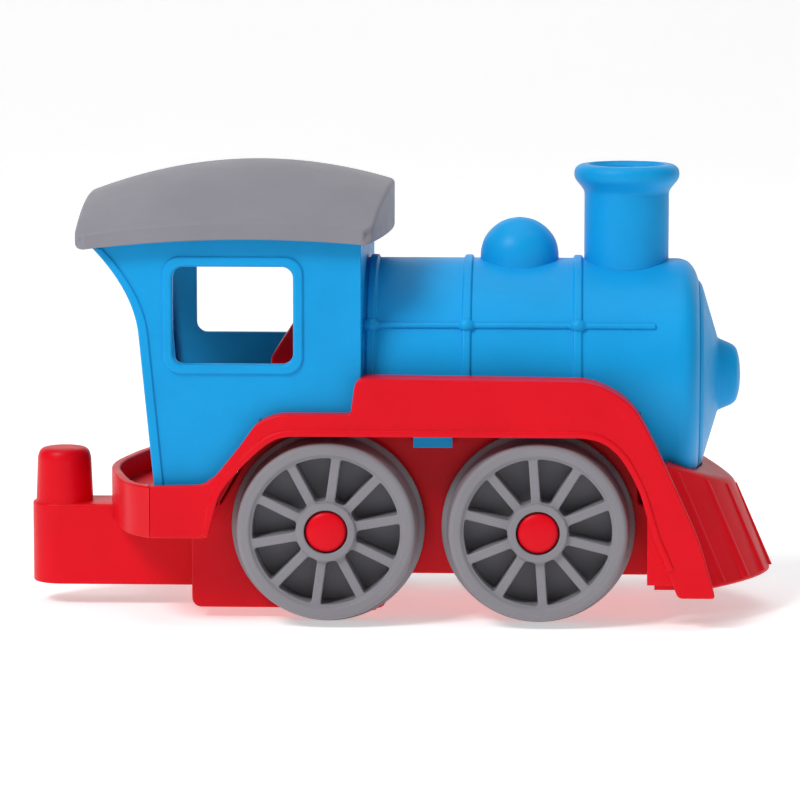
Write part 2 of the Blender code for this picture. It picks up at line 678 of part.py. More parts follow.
def make_roof():
    """Vaulted roof with a turned-down lip and four snap tabs inside the cab walls."""
    low, high = ROOF
    bends = [0.0, 0.4, 1.3, 2.7, ROOF_TURN]
    flat = [low + ROOF_TURN + (high - low - 2 * ROOF_TURN) * i / 8 for i in range(1, 8)]
    outside = [low + step for step in bends] + flat + [high - step for step in bends[::-1]]
    inside = [low + WALL + (high - low - 2 * WALL) * i / 8 for i in range(9)]
    roof = cut(lofted(roof_sections(0, outside, lip_end_z)),
               lofted(roof_sections(WALL, inside, lambda x: 90.0)))
    for side in (-1, 1):
        for x in (-68.0, -30.0):
            low, high = sorted((side * 42.3, side * 40.5))
            join(roof, box((x - 4, x + 4), (low, high), (120.5, vault_z(x, 41.0) - 1.0)))
    return roof


def make_wheel(name, side):
    """Spoked wheel: turned rim, flange, web and hub, with ten pockets between the spokes."""
    x = AXLES[name]
    profile = [(WHEEL_IN, BORE_R), (WHEEL_IN, 6.0), (34.4, 6.0), (34.4, 30.9), (35.8, FLANGE_R),
               (37.4, 29.4), (48.8, 28.6), (WHEEL_OUT, 27.6), (WHEEL_OUT, 24.9),
               (48.6, 24.1), (48.6, 9.8), (50.0, 9.4), (50.0, 7.0), (44.0, 7.0), (44.0, BORE_R)]
    wheel = turned([(side * a, r) for a, r in profile], 30, (x, 0, AXLE_Z), "Y", 0)
    half = SPOKE_W / 2
    for k in range(SPOKES):
        pocket = []
        for radius, steps in ((POCKET_IN, (0, 1)), (POCKET_OUT, (3, 2, 1, 0))):
            edge = math.asin(half / radius)
            span = 2 * math.pi / SPOKES - 2 * edge
            last = max(steps)
            for step in steps:
                turn = math.radians(SPOKE_TURN[name]) + 2 * math.pi * k / SPOKES + edge
                turn += span * step / last
                pocket.append((x + radius * math.cos(turn), AXLE_Z + radius * math.sin(turn)))
        cut(wheel, prism(pocket, *sorted((side * POCKET_FLOOR, side * 52.0))))
    return wheel


def make_cap(name, side):
    """Domed hub cap with a socket for the axle's end."""
    profile = [(44.3, 0), (44.3, CAP_R), (49.0, CAP_R), (49.8, 5.4), (50.2, 3.0), (50.3, 0)]
    cap = turned([(side * a, r) for a, r in profile], 24, (AXLES[name], 0, AXLE_Z), "Y")
    return cut(cap, rod(*sorted((side * 42.0, side * 47.3)), AXLE_R + 0.1, 16, "Y",
                        (AXLES[name], 0, AXLE_Z)))


def main():
    for obj in list(bpy.data.objects):
        bpy.data.objects.remove(obj)
    blue = make_material("blue_plastic", BLUE, 0.42)
    red = make_material("red_plastic", RED, 0.42)
    grey = make_material("grey_plastic", GREY, 0.5)
    wheel_grey = make_material("wheel_plastic", WHEEL_GREY, 0.48)
    steel = make_material("steel", STEEL, 0.3, 1.0)

    fender = finish(make_fender(), "fender_right", red)
    finish(mirrored(fender, "fender_left"), "fender_left", red)
    finish(make_rear_tray(), "rear_tray", red)
    finish(make_deck(), "deck", red)
    finish(make_underframe(), "underframe", red)
    finish(make_coupling_arm(), "coupling_arm", red)
    finish(make_coupling_screw(), "coupling_screw", steel)
    finish(make_cowcatcher(), "cowcatcher", red)
    finish(make_console(), "cab_console", red)

    body = make_body()
    finish(split_body(body, -1), "body_right", blue)
    finish(split_body(body, 1), "body_left", blue)
    bpy.data.objects.remove(body)
    finish(make_door(), "smokebox_door", blue)
    finish(make_chimney(), "chimney", blue)
    finish(make_roof(), "roof", grey)

    for name in AXLES:
        finish(rod(-AXLE_HALF, AXLE_HALF, AXLE_R, 16, "Y", (AXLES[name], 0, AXLE_Z)),
               f"{name}_axle", steel)
        finish(make_keeper(name), f"{name}_axle_keeper", red)
        for number, step in enumerate((-10.5, 10.5), 1):
            finish(make_keeper_screw(name, step), f"{name}_keeper_screw_{number}", steel)
        for label, side in (("right", -1), ("left", 1)):
            finish(make_wheel(name, side), f"{name}_{label}_wheel", wheel_grey)
            finish(make_cap(name, side), f"{name}_{label}_hub_cap", red)
    number = 0
    for x, y in BODY_SCREWS:
        for side in (-1, 1):
            number += 1
            finish(make_body_screw(x, side * y), f"body_screw_{number}", steel)


main()
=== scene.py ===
"""Looks of the toy steam engine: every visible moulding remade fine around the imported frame.

Lengths are in millimetres in the frame's own axes (+X front, +Z up, right side at -Y), and
meshes are written in metres. Right-hand pieces are made first, and left-hand ones mirror them.
"""
import json
import math

import bmesh
import bpy
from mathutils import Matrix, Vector


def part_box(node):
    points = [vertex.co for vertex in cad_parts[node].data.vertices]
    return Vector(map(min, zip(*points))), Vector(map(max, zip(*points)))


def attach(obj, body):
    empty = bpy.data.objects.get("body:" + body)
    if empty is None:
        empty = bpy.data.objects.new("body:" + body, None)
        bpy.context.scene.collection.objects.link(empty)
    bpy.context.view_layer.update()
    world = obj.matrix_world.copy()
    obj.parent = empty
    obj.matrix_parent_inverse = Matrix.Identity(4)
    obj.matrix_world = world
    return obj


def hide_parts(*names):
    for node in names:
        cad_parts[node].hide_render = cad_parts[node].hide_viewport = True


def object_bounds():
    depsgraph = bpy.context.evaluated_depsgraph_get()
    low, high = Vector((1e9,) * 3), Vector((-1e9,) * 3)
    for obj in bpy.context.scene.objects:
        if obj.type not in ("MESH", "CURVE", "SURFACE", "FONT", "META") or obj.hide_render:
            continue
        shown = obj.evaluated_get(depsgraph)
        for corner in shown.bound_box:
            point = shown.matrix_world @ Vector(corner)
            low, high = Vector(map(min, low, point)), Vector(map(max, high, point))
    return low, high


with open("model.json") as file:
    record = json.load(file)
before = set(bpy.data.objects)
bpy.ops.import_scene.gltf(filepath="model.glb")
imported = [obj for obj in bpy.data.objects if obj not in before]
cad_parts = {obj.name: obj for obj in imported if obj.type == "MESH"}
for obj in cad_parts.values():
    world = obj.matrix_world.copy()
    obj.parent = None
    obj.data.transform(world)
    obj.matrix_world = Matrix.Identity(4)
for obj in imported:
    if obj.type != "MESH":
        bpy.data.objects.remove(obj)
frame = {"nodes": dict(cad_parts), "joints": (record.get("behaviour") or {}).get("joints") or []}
CAD_LOW, CAD_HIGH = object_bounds()

MM = 0.001                   # metres in one millimetre


def span(node):
    """Lowest and highest corner of a CAD node, in millimetres."""
    low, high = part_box(node)
    return low / MM, high / MM


# Anchors read from the frame
AXLES = {joint["name"].split("_")[0]: joint["pos_m"][0] / MM for joint in frame["joints"]}
AXLE_Z = frame["joints"][0]["pos_m"][2] / MM
ARM_LOW, ARM_HIGH = span("coupling_arm")
BODY_LOW_CORNER, BODY_HIGH_CORNER = span("body_right")
CHIMNEY_LOW, CHIMNEY_HIGH = span("chimney")
DOOR_LOW, DOOR_HIGH = span("smokebox_door")
FENDER_LOW = span("fender_right")[0]
KEEPER_LOW = {name: span(f"{name}_axle_keeper")[0].z for name in AXLES}
ROOF_LOW, ROOF_HIGH = span("roof")
WHEEL_LOW, WHEEL_HIGH = span("rear_right_wheel")

# Fits and walls
GAP = 0.3
WALL = 2.4
SEAM = 0.15
HAIR = 0.06                  # between mouldings pressed tight against each other

# Outlines and shading
FREE_BEND = 6.0              # most that a bend without a limit of its own reaches along a side
SHARP_ANGLE = math.radians(32)

# Wheels and axles
AXLE_R = 2.0
AXLE_HALF = span("rear_axle")[1].y
FLANGE_R = (WHEEL_HIGH.z - WHEEL_LOW.z) / 2
WHEEL_IN = -WHEEL_HIGH.y
SPOKES = 10
SPOKE_W = 3.0
SPOKE_TURN = {"rear": 82.0, "front": 94.0}    # degrees, one spoke's angle above +X
POCKET_OUT = 23.7
POCKET_IN = 9.9
POCKET_FLOOR = 38.6
BORE_R = 2.1
CAP_R = 6.6

# Boiler
BOILER_Z = (DOOR_LOW.z + DOOR_HIGH.z) / 2
BOILER_R = 37.9
BANDS = (-8.9, 21.9, 57.6)
BAND_W = 3.0
RAIL_R = 38.2
RAIL_TURN = math.radians(30.4)
RIM_X = 92.4
NOSE_X = BODY_HIGH_CORNER.x
BODY_LOW = 68.9
BODY_LOW_FRONT = 78.0
NOSE_BORE_R = 28.8
SPIGOT_R = 28.4
CHIMNEY_X = (CHIMNEY_LOW.x + CHIMNEY_HIGH.x) / 2
CHIMNEY_R = 13.8
CHIMNEY_PLUG_R = 10.7
CHIMNEY_LIP = (CHIMNEY_HIGH.x - CHIMNEY_LOW.x) / 2
DOME_X = 38.4
DOME_R = 12.8

# Cab
FRAME_PROUD = 0.9            # window frame over the cab's side
BEAD_PROUD = 0.8
CAB_Y = -BODY_LOW_CORNER.y - FRAME_PROUD
CAB_FRONT = -11.35
CAB_REAR = -78.2
CAB_REAR_Z = 47.3
CAB_LEAN = 0.0955
FLARE_Z = 94.0
FLARE_K = 65.0
WINDOW = (-71.6, -33.1, 84.8, 116.0)
WINDOW_R = 3.4

# Roof
ROOF_Y = ROOF_HIGH.y
ROOF_BOW = 5.0               # the front edge's ends stand this far behind its middle
ROOF_TURN = 2.6              # rounding of the lip's four ends, seen from the side
ROOF_CORNER = 2.4            # and of the roof's corners, seen from above
LIP_BEND = 1.4               # rounding from the lip over to the vault
ROOF_RIM = 1.2               # rounding of the outer rims of its two end faces
CROWN_X = -47.0

# Chassis
SIDE_Y = -FENDER_LOW.y - BEAD_PROUD
FRAME_Y = 31.0
DEEP_Z = 3.4
KEEL_Z = 15.0
DECK_Z = 64.0
DECK_T = 2.3
TRAY_X = -79.0
ARM_HALF = ARM_HIGH.y
PEG_X = -112.0

# Screws
SCREW_SHANK = 1.35
KEEPER_SCREW_STEPS = (-10.5, 10.5)
COUPLING_SCREW_X = -59.0
BODY_SCREWS = ((11.35, 17.0), (69.5, 17.0))

# Finishes: linear colour and roughness
BLUE = ((0.006, 0.345, 0.760), 0.40)
RED = ((0.740, 0.002, 0.012), 0.38)
GREY = ((0.258, 0.251, 0.285), 0.46)
WHEEL_GREY = ((0.250, 0.244, 0.268), 0.44)


# ---------------------------------------------------------------- mesh tools

def add_object(name, points, faces):
    """A closed mesh from points in millimetres, its faces turned outwards."""
    bm = bmesh.new()
    verts = [bm.verts.new([c * MM for c in p]) for p in points]
    for face in faces:
        bm.faces.new([verts[i] for i in face])
    bmesh.ops.recalc_face_normals(bm, faces=bm.faces)
    mesh = bpy.data.meshes.new(name)
    bm.to_mesh(mesh)
    bm.free()
    obj = bpy.data.objects.new(name, mesh)
    bpy.context.collection.objects.link(obj)
    return obj


def quarter_turn(steps):
    """Evenly spaced angles from 0 to a right angle, both included."""
    return [math.pi / 2 * k / steps for k in range(steps + 1)]


def inset(outline, distance):
    """A closed outline moved inwards; a negative distance moves it outwards."""
    count = len(outline)
    area = sum(outline[i - 1][0] * outline[i][1] - outline[i][0] * outline[i - 1][1]
               for i in range(count))
    side = distance if area > 0 else -distance
    moved = []
    for i, (x, y) in enumerate(outline):
        normals = []
        for a, b in ((outline[i - 1], (x, y)), ((x, y), outline[(i + 1) % count])):
            length = math.hypot(b[0] - a[0], b[1] - a[1])
            if length > 1e-9:
                normals.append((-(b[1] - a[1]) / length, (b[0] - a[0]) / length))
        nx, ny = sum(n[0] for n in normals), sum(n[1] for n in normals)
        size = math.hypot(nx, ny)
        nx, ny = nx / size, ny / size
        square = max(0.5, nx * normals[0][0] + ny * normals[0][1])
        moved.append((x + nx * side / square, y + ny * side / square))
    return moved


def stacked(outline, levels, axis):
    """A closed solid whose outline is inset by its own amount at each (height, inset) level."""
    place = {"Y": lambda a, b, h: (a, h, b), "Z": lambda a, b, h: (a, b, h)}[axis]
    count = len(outline)
    points = []
    for height, distance in levels:
        ring = inset(outline, distance) if distance else outline
        points += [place(a, b, height) for a, b in ring]
    top = (len(levels) - 1) * count
    faces = [list(range(count)), list(range(top + count - 1, top - 1, -1))]
    for level in range(len(levels) - 1):
        for i in range(count):
            j = (i + 1) % count
            a, b = level * count, (level + 1) * count
            faces.append([a + i, a + j, b + j, b + i])
    return add_object("stacked", points, faces)


def rim(height, radius, inwards):
    """Levels of a rounded rim that ends at a height; inwards is the way towards the middle."""
    return [(height + inwards * radius * (1 - math.cos(t)), radius * (1 - math.sin(t)))
            for t in quarter_turn(3)]


def soft_prism(outline, low, high, axis="Y", low_rim=0.5, high_rim=0.5):
    """An extruded outline with rounded rims; a rim of 0 stays sharp."""
    levels = rim(low, low_rim, 1) if low_rim else [(low, 0)]
    levels += rim(high, high_rim, -1)[::-1] if high_rim else [(high, 0)]
    return stacked(outline, levels, axis)


def prism(outline, low, high, axis="Y"):
    return soft_prism(outline, low, high, axis, 0, 0)


def flared(outline, low, high, axis, low_flare, high_flare):
    """A cutter through a wall from low to high that rounds the hole's edges on either face."""
    levels = []
    for height, flare, inwards in ((low, low_flare, 1), (high, high_flare, -1)):
        side = [(height - inwards * 2.0, -flare)]
        side += [(height + inwards * (flare - (flare + 0.01) * math.sin(t)),
                  -flare * (1 - math.cos(t)))
                 for t in quarter_turn(4)[::-1]] if flare else []
        levels += side if inwards == 1 else side[::-1]
    return stacked(outline, levels, axis)


def box(x, y, z):
    """A block from three (low, high) pairs."""
    return prism([(x[0], z[0]), (x[1], z[0]), (x[1], z[1]), (x[0], z[1])], y[0], y[1])


def turned(profile, segments, centre, axis, phase=0.5):
    """Turn a closed (along, radius) profile about an axis; phase is a part of a segment."""
    place = {"X": lambda t, u, v: (t, u, v), "Y": lambda t, u, v: (v, t, u),
             "Z": lambda t, u, v: (u, v, t)}[axis]
    points = []
    rings = []
    for along, radius in profile:
        if radius == 0:
            rings.append([len(points)])
            points.append(place(along, 0, 0))
            continue
        rings.append(list(range(len(points), len(points) + segments)))
        for k in range(segments):
            turn = 2 * math.pi * (k + phase) / segments
            points.append(place(along, radius * math.cos(turn), radius * math.sin(turn)))
    faces = []
    for i, ring in enumerate(rings):
        after = rings[(i + 1) % len(rings)]
        if len(ring) == 1 and len(after) == 1:
            continue
        for k in range(segments):
            j = (k + 1) % segments
            corners = [ring[k % len(ring)], ring[j % len(ring)],
                       after[j % len(after)], after[k % len(after)]]
            faces.append(list(dict.fromkeys(corners)))
    points = [[p[i] + centre[i] for i in range(3)] for p in points]
    return add_object("turned", points, faces)


def rod(start, end, radius, segments, axis, centre):
    return turned([(start, 0), (start, radius), (end, radius), (end, 0)], segments, centre, axis)


def lofted(sections, strips=False):
    """A closed solid through sections with the same number of points.

    With strips, a section is an upper line and a lower line back below it, and the two end
    faces are built of strips between these, so that they can be bowed.
    """
    count = len(sections[0])
    points = [p for section in sections for p in section]
    last = (len(sections) - 1) * count
    if strips:
        pairs = [(j, j + 1, count - 2 - j, count - 1 - j) for j in range(count // 2 - 1)]
        faces = [list(pair) for pair in pairs]
        faces += [[last + k for k in pair[::-1]] for pair in pairs]
    else:
        faces = [list(range(count)), list(range(last + count - 1, last - 1, -1))]
    for s in range(len(sections) - 1):
        for i in range(count):
            j = (i + 1) % count
            a, b = s * count, (s + 1) * count
            faces += [[a + i, a + j, b + j], [a + i, b + j, b + i]]
    return add_object("lofted", points, faces)


def measure(mesh):
    """Volume of a mesh in cubic millimetres, and how many of its edges are open."""
    bm = bmesh.new()
    bm.from_mesh(mesh)
    volume = bm.calc_volume(signed=True) / MM ** 3
    loose = sum(not edge.is_manifold for edge in bm.edges)
    bm.free()
    return volume, loose


def boolean(target, other, operation):
    """Join, cut or intersect target with other, which is used up.

    Where two surfaces graze each other the plain solver can fail, so an unsound result is
    tried again with self-intersection handling, and then with the tool moved a hair.
    """
    (before, open_before), (tool, open_tool) = measure(target.data), measure(other.data)
    least, most = {"UNION": (max(before, tool), before + tool),
                   "DIFFERENCE": (before - tool, before),
                   "INTERSECT": (0.0, min(before, tool))}[operation]
    slack = 0.002 * before + 1.0
    tries = [(False, 0), (True, 0), (False, 1), (True, 1), (False, -2), (True, -2)]
    for number, (thorough, hair) in enumerate(tries):
        other.location = (hair * 0.000007, hair * 0.000011, hair * 0.000005)
        modifier = target.modifiers.new("boolean", "BOOLEAN")
        modifier.operation = operation
        modifier.solver = "EXACT"
        modifier.use_self = thorough
        modifier.object = other
        bpy.context.view_layer.update()
        graph = bpy.context.evaluated_depsgraph_get()
        mesh = bpy.data.meshes.new_from_object(target.evaluated_get(graph))
        target.modifiers.clear()
        volume, loose = measure(mesh)
        if (loose <= open_before + open_tool and volume > slack
                and least - slack < volume < most + slack):
            break
        if number == len(tries) - 1:
            print("UNSOUND", operation, target.name, volume, loose)
    old = target.data
    target.data = mesh
    bpy.data.meshes.remove(old)
    bpy.data.objects.remove(other)
    return target


def join(target, *others):
    for other in others:
        boolean(target, other, "UNION")
    return target


def cut(target, *others):
    for other in others:
        boolean(target, other, "DIFFERENCE")
    return target


def mirrored(obj):
    """A second object on the other side of the middle plane."""
    bm = bmesh.new()
    bm.from_mesh(obj.data)
    bmesh.ops.scale(bm, vec=(1, -1, 1), verts=bm.verts)
    bmesh.ops.reverse_faces(bm, faces=bm.faces)
    mesh = bpy.data.meshes.new("mirrored")
    bm.to_mesh(mesh)
    bm.free()
    copy = bpy.data.objects.new("mirrored", mesh)
    bpy.context.collection.objects.link(copy)
    return copy


def flowing(corners, steps=4, closed=False):
    """An outline whose corners become smooth bends; a third value in a corner limits its bend."""
    line = []
    count = len(corners)
    for i, corner in enumerate(corners):
        x, y = corner[:2]
        if not closed and i in (0, count - 1):
            line.append((x, y))
            continue
        before, after = corners[i - 1], corners[(i + 1) % count]
        arms = [(p[0] - x, p[1] - y, math.hypot(p[0] - x, p[1] - y)) for p in (before, after)]
        limit = min(corner[2] if len(corner) > 2 else FREE_BEND, arms[0][2] / 2, arms[1][2] / 2)
        if limit <= 0.01:
            line.append((x, y))
            continue
        start, end = ((x + a * limit / length, y + b * limit / length) for a, b, length in arms)
        chord = math.dist(start, end) / 2
        weight = chord / limit           # of the corner, so that the bend is a circle's arc
        for k in range(steps + 1):
            t = k / steps
            parts = ((1 - t) ** 2, 2 * weight * t * (1 - t), t * t)
            whole = sum(parts)
            line.append(((parts[0] * start[0] + parts[1] * x + parts[2] * end[0]) / whole,
                         (parts[0] * start[1] + parts[1] * y + parts[2] * end[1]) / whole))
    return [p for i, p in enumerate(line) if math.dist(p, line[i - 1]) > 0.02]


def shifted(path, distance):
    """An open path moved sideways; a positive distance moves it to the left of its direction."""
    moved = []
    for i, (x, y) in enumerate(path):
        before = path[max(i - 1, 0)]
        after = path[min(i + 1, len(path) - 1)]
        dx, dy = after[0] - before[0], after[1] - before[1]
        length = math.hypot(dx, dy)
        moved.append((x - dy / length * distance, y + dx / length * distance))
    return moved


def strip(path, width):
    """A closed band between a path and its shifted copy."""
    return path + shifted(path, width)[::-1]


def finish(obj, name, material):
    """Clean a finished piece, shade its curved faces smooth and keep its flat faces flat."""
    bm = bmesh.new()
    bm.from_mesh(obj.data)
    bmesh.ops.remove_doubles(bm, verts=bm.verts, dist=0.000002)
    bmesh.ops.dissolve_degenerate(bm, edges=bm.edges, dist=0.000002)
    bm.to_mesh(obj.data)
    bm.free()
    obj.name = name
    obj.data.name = name
    obj.data.materials.clear()
    obj.data.materials.append(material)
    obj.data.shade_smooth()
    obj.data.set_sharp_from_angle(angle=SHARP_ANGLE)
    weighted = obj.modifiers.new("even_shading", "WEIGHTED_NORMAL")
    weighted.keep_sharp = True
    weighted.weight = 60
    return obj


def place(obj, node, slot, material, body="root"):
    """Finish a piece, let it stand for a CAD node and ride on that node's body."""
    finish(obj, node + "_shell", material)
    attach(obj, body)
    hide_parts(node)
    return obj


# ---------------------------------------------------------------- materials

class Graph:
    """A material's node tree, with short calls that add nodes and link them."""

    def __init__(self, name):
        self.material = bpy.data.materials.new(name)
        self.material.use_nodes = True
        self.tree = self.material.node_tree
        self.shader = self.tree.nodes["Principled BSDF"]

    def put(self, value, socket):
        if isinstance(value, bpy.types.NodeSocket):
            self.tree.links.new(value, socket)
        else:
            socket.default_value = value

    def add(self, kind, inputs=(), **settings):
        node = self.tree.nodes.new("ShaderNode" + kind)
        for key, value in settings.items():
            setattr(node, key, value)
        for key, value in dict(inputs).items():
            self.put(value, node.inputs[key])
        return node

    def math(self, operation, a, b):
        return self.add("Math", {0: a, 1: b}, operation=operation).outputs[0]

    def noise(self, scale, detail, roughness=0.55):
        place = self.add("TexCoord").outputs["Object"]
        return self.add("TexNoise", {"Vector": place, "Scale": scale, "Detail": detail,
                                     "Roughness": roughness}).outputs[0]

    def ramp(self, value, low, high, out_low=0.0, out_high=1.0):
        return self.add("MapRange", {"Value": value, "From Min": low, "From Max": high,
                                     "To Min": out_low, "To Max": out_high}).outputs[0]

    def mix(self, factor, a, b):
        node = self.add("Mix", data_type="RGBA")     # its colours are sockets 6 and 7, out of 2
        self.put(factor, node.inputs["Factor"])
        self.put(a, node.inputs[6])
        self.put(b, node.inputs[7])
        return node.outputs[2]

    def edges(self, radius):
        """1 along sharp edges, falling to 0 a radius away from them."""
        bevel = self.add("Bevel", {"Radius": radius}, samples=4).outputs[0]
        normal = self.add("NewGeometry").outputs["Normal"]
        dot = self.add("VectorMath", {0: bevel, 1: normal}, operation="DOT_PRODUCT")
        return self.ramp(dot.outputs["Value"], 0.995, 0.86)

    def bump(self, height, distance, strength, below=None):
        inputs = {"Height": height, "Distance": distance, "Strength": strength}
        if below is not None:
            inputs["Normal"] = below
        return self.add("Bump", inputs).outputs[0]


def tinted(colour, factor, lift=0.0):
    return (*[min(1.0, c * factor + lift) for c in colour], 1.0)


def plastic(name, finish_values, mottle=0.06, wear=0.35):
    """Moulded plastic: uneven pigment, a fine spark-eroded grain, pale scuffs on its edges."""
    colour, roughness = finish_values
    g = Graph(name)
    cloud = g.ramp(g.noise(34, 4), 0.3, 0.7)
    speck = g.ramp(g.noise(1300, 3), 0.35, 0.65)
    base = g.mix(cloud, tinted(colour, 1 - mottle), tinted(colour, 1 + mottle))
    base = g.mix(g.math("MULTIPLY", speck, 0.10), base, tinted(colour, 0.8))
    scuff = g.ramp(g.noise(210, 7, 0.65), 0.44, 0.66)
    rubbed = g.math("MULTIPLY", g.edges(0.0007),
                    g.math("ADD", g.math("MULTIPLY", scuff, 0.8), 0.2))
    base = g.mix(g.math("MULTIPLY", rubbed, wear), base, tinted(colour, 1.15, 0.10))
    g.put(base, g.shader.inputs["Base Color"])
    patchy = g.ramp(g.noise(95, 5, 0.6), 0.3, 0.7, roughness - 0.05, roughness + 0.06)
    g.put(g.math("ADD", patchy, g.math("MULTIPLY", rubbed, 0.12)), g.shader.inputs["Roughness"])
    swell = g.bump(g.noise(130, 2), 0.00012, 0.35)
    grain = g.bump(g.noise(2600, 3, 0.6), 0.00004, 0.45, swell)
    g.put(grain, g.shader.inputs["Normal"])
    g.shader.inputs["IOR"].default_value = 1.49
    g.shader.inputs["Specular IOR Level"].default_value = 0.15
    return g.material


def steel():
    """Bright zinc-plated steel with a drawn grain and dull patches."""
    g = Graph("steel")
    dull = g.ramp(g.noise(260, 6), 0.3, 0.75)
    g.put(g.mix(dull, (0.50, 0.50, 0.50, 1), (0.64, 0.63, 0.61, 1)),
          g.shader.inputs["Base Color"])
    g.put(g.ramp(dull, 0, 1, 0.22, 0.38), g.shader.inputs["Roughness"])
    g.put(g.bump(g.noise(3200, 2), 0.00002, 0.3), g.shader.inputs["Normal"])
    g.shader.inputs["Metallic"].default_value = 1.0
    return g.material


# ---------------------------------------------------------------- shared shapes

def cab_rear(z):
    """X of the cab's rear edge: a slight lean that flares out under the roof."""
    flare = max(0.0, min(z, 122.0) - FLARE_Z) ** 2 / FLARE_K
    return CAB_REAR - CAB_LEAN * (z - CAB_REAR_Z) - flare


def crown_z(x):
    return 147.0 - (x - CROWN_X) ** 2 / 286.0


def eave_z(x):
    return 130.4 - (x - CROWN_X) ** 2 / 736.0


def lip_z(x):
    return 125.1 - (x - CROWN_X) ** 2 / 773.0


def vault_z(x, y):
    """Height of the roof's outer skin."""
    return eave_z(x) + (crown_z(x) - eave_z(x)) * (1 - (y / ROOF_Y) ** 2)


def fender_lower():
    """Lower edge of a fender from the foot of its rear end to the foot of its front leg."""
    return [(-60.4, 29.2), (-57.2, 42.2), (-55.2, 45.8), (-51.2, 50.6), (-46.4, 55.6),
            (-41.5, 59.8), (-37.8, 61.8), (-34.0, 62.4), (60.6, 62.4), (66.4, 60.8),
            (71.2, 56.6), (74.3, 51.8), (77.6, 45.4), (80.0, 37.4), (82.4, 29.3),
            (85.5, 22.9), (90.0, 10.7)]


def fender_upper():
    """Upper edge of a fender from its front foot back to the rear tray."""
    return [(102.0, 10.7, 1.2), (96.7, 29.3), (84.6, 55.6), (82.4, 59.8), (79.2, 66.2),
            (75.9, 71.7), (71.2, 75.8), (64.9, 79.0), (60.0, 80.3), (-10.4, 81.0, 1.4),
            (-12.6, 80.2, 1.0), (-13.4, 78.0, 1.0), (-14.5, 69.4, 1.2), (-36.9, 69.4, 3.0),
            (-40.7, 68.4), (-44.8, 66.2), (-49.6, 59.2), (-54.4, 53.4), (-58.2, 48.6),
            (-62.2, 46.3), (TRAY_X + HAIR, 46.0, 0.0), (TRAY_X + HAIR, 29.2, 0.0)]


# ---------------------------------------------------------------- red mouldings

def make_fender():
    """Outer skin, top, front leg and rolled lower edge of the right side moulding."""
    depth = -BOILER_R - 1.2
    outline = [(*p, 1.5) if i in (0, 16) else p for i, p in enumerate(fender_lower())]
    fender = soft_prism(flowing(outline + fender_upper(), closed=True), -SIDE_Y, depth,
                        low_rim=0.6, high_rim=0)
    cut(fender, box((TRAY_X - 5, -13.55), (-CAB_Y - GAP, -30), (0, 100)),
        box((68.0, 110.0), (-43.6, -30), (0, 57.5)))
    top = fender_upper()
    cavity = (shifted(flowing(top[3:9] + [(-5.0, 80.9)]), WALL) + [(-10.9, 78.5), (-12.1, 67.0)]
              + shifted(flowing([(-30.0, 69.4)] + top[13:19]), WALL)
              + [(-60.0, 44.0), (-60.0, 0), (66.0, 0), (66.0, 50.0)])
    cut(fender, prism(cavity, -SIDE_Y + WALL, -30.0),
        box((TRAY_X - 5, -60.5), (-SIDE_Y + WALL, -30), (0, 60)))
    low_edge = shifted(flowing(fender_lower()), -0.12)
    low_edge = [(low_edge[0][0], low_edge[0][1] + 0.4)] + low_edge[1:-1]
    bead = soft_prism(strip(low_edge, 2.3), -SIDE_Y - BEAD_PROUD, -SIDE_Y + 1.2,
                      low_rim=0.75, high_rim=0)
    heel = box((80.2, 90.0), (-47.0, -43.4), (14.4, 40.0))
    brackets = [box(part, (-SIDE_Y + 1.0, -30.4), (DECK_Z + DECK_T + GAP, 68.6))
                for part in ((-9.0, 4.2), (18.4, 32.0), (60.0, 76.0))]
    return join(fender, bead, heel, *brackets)


def tray_outline(away):
    """Plan of the rear tray, D-shaped, from the right seam round the rear to the left seam."""
    corners = [(TRAY_X, 50.6 - away), (-86.3 + away * 0.8, 43.5 - away * 0.7),
               (-90.2 + away, 33.0 - away * 0.3), (-93.2 + away, 20.0),
               (-95.4 + away, 9.0), (-96.2 + away, 0.0)]
    return [(x, -y) for x, y in corners] + corners[-2::-1]


def make_rear_tray():
    """D-shaped wall round a low floor that carries on forward under the cab."""
    wall_low, wall_high, floor_low, floor_high = 29.2, 45.9, 38.0, 40.5
    tray = soft_prism(flowing(tray_outline(0)), wall_low, wall_high, "Z", 0.5, 0.8)
    well = [(-60.0, p[1]) if abs(p[0] - TRAY_X) < 0.01 else p for p in flowing(tray_outline(2.8))]
    cut(tray, flared(well, floor_high, wall_high, "Z", 0, 0.7),
        prism(well, wall_low - 5, floor_low, "Z"),
        box((-110.0, -80.0), (-ARM_HALF - GAP, ARM_HALF + GAP), (20.0, 34.0)))
    floor_y = SIDE_Y - WALL - GAP - 0.5
    return join(tray, box((TRAY_X - 3.0, -58.2), (-floor_y, floor_y), (floor_low, floor_high)))


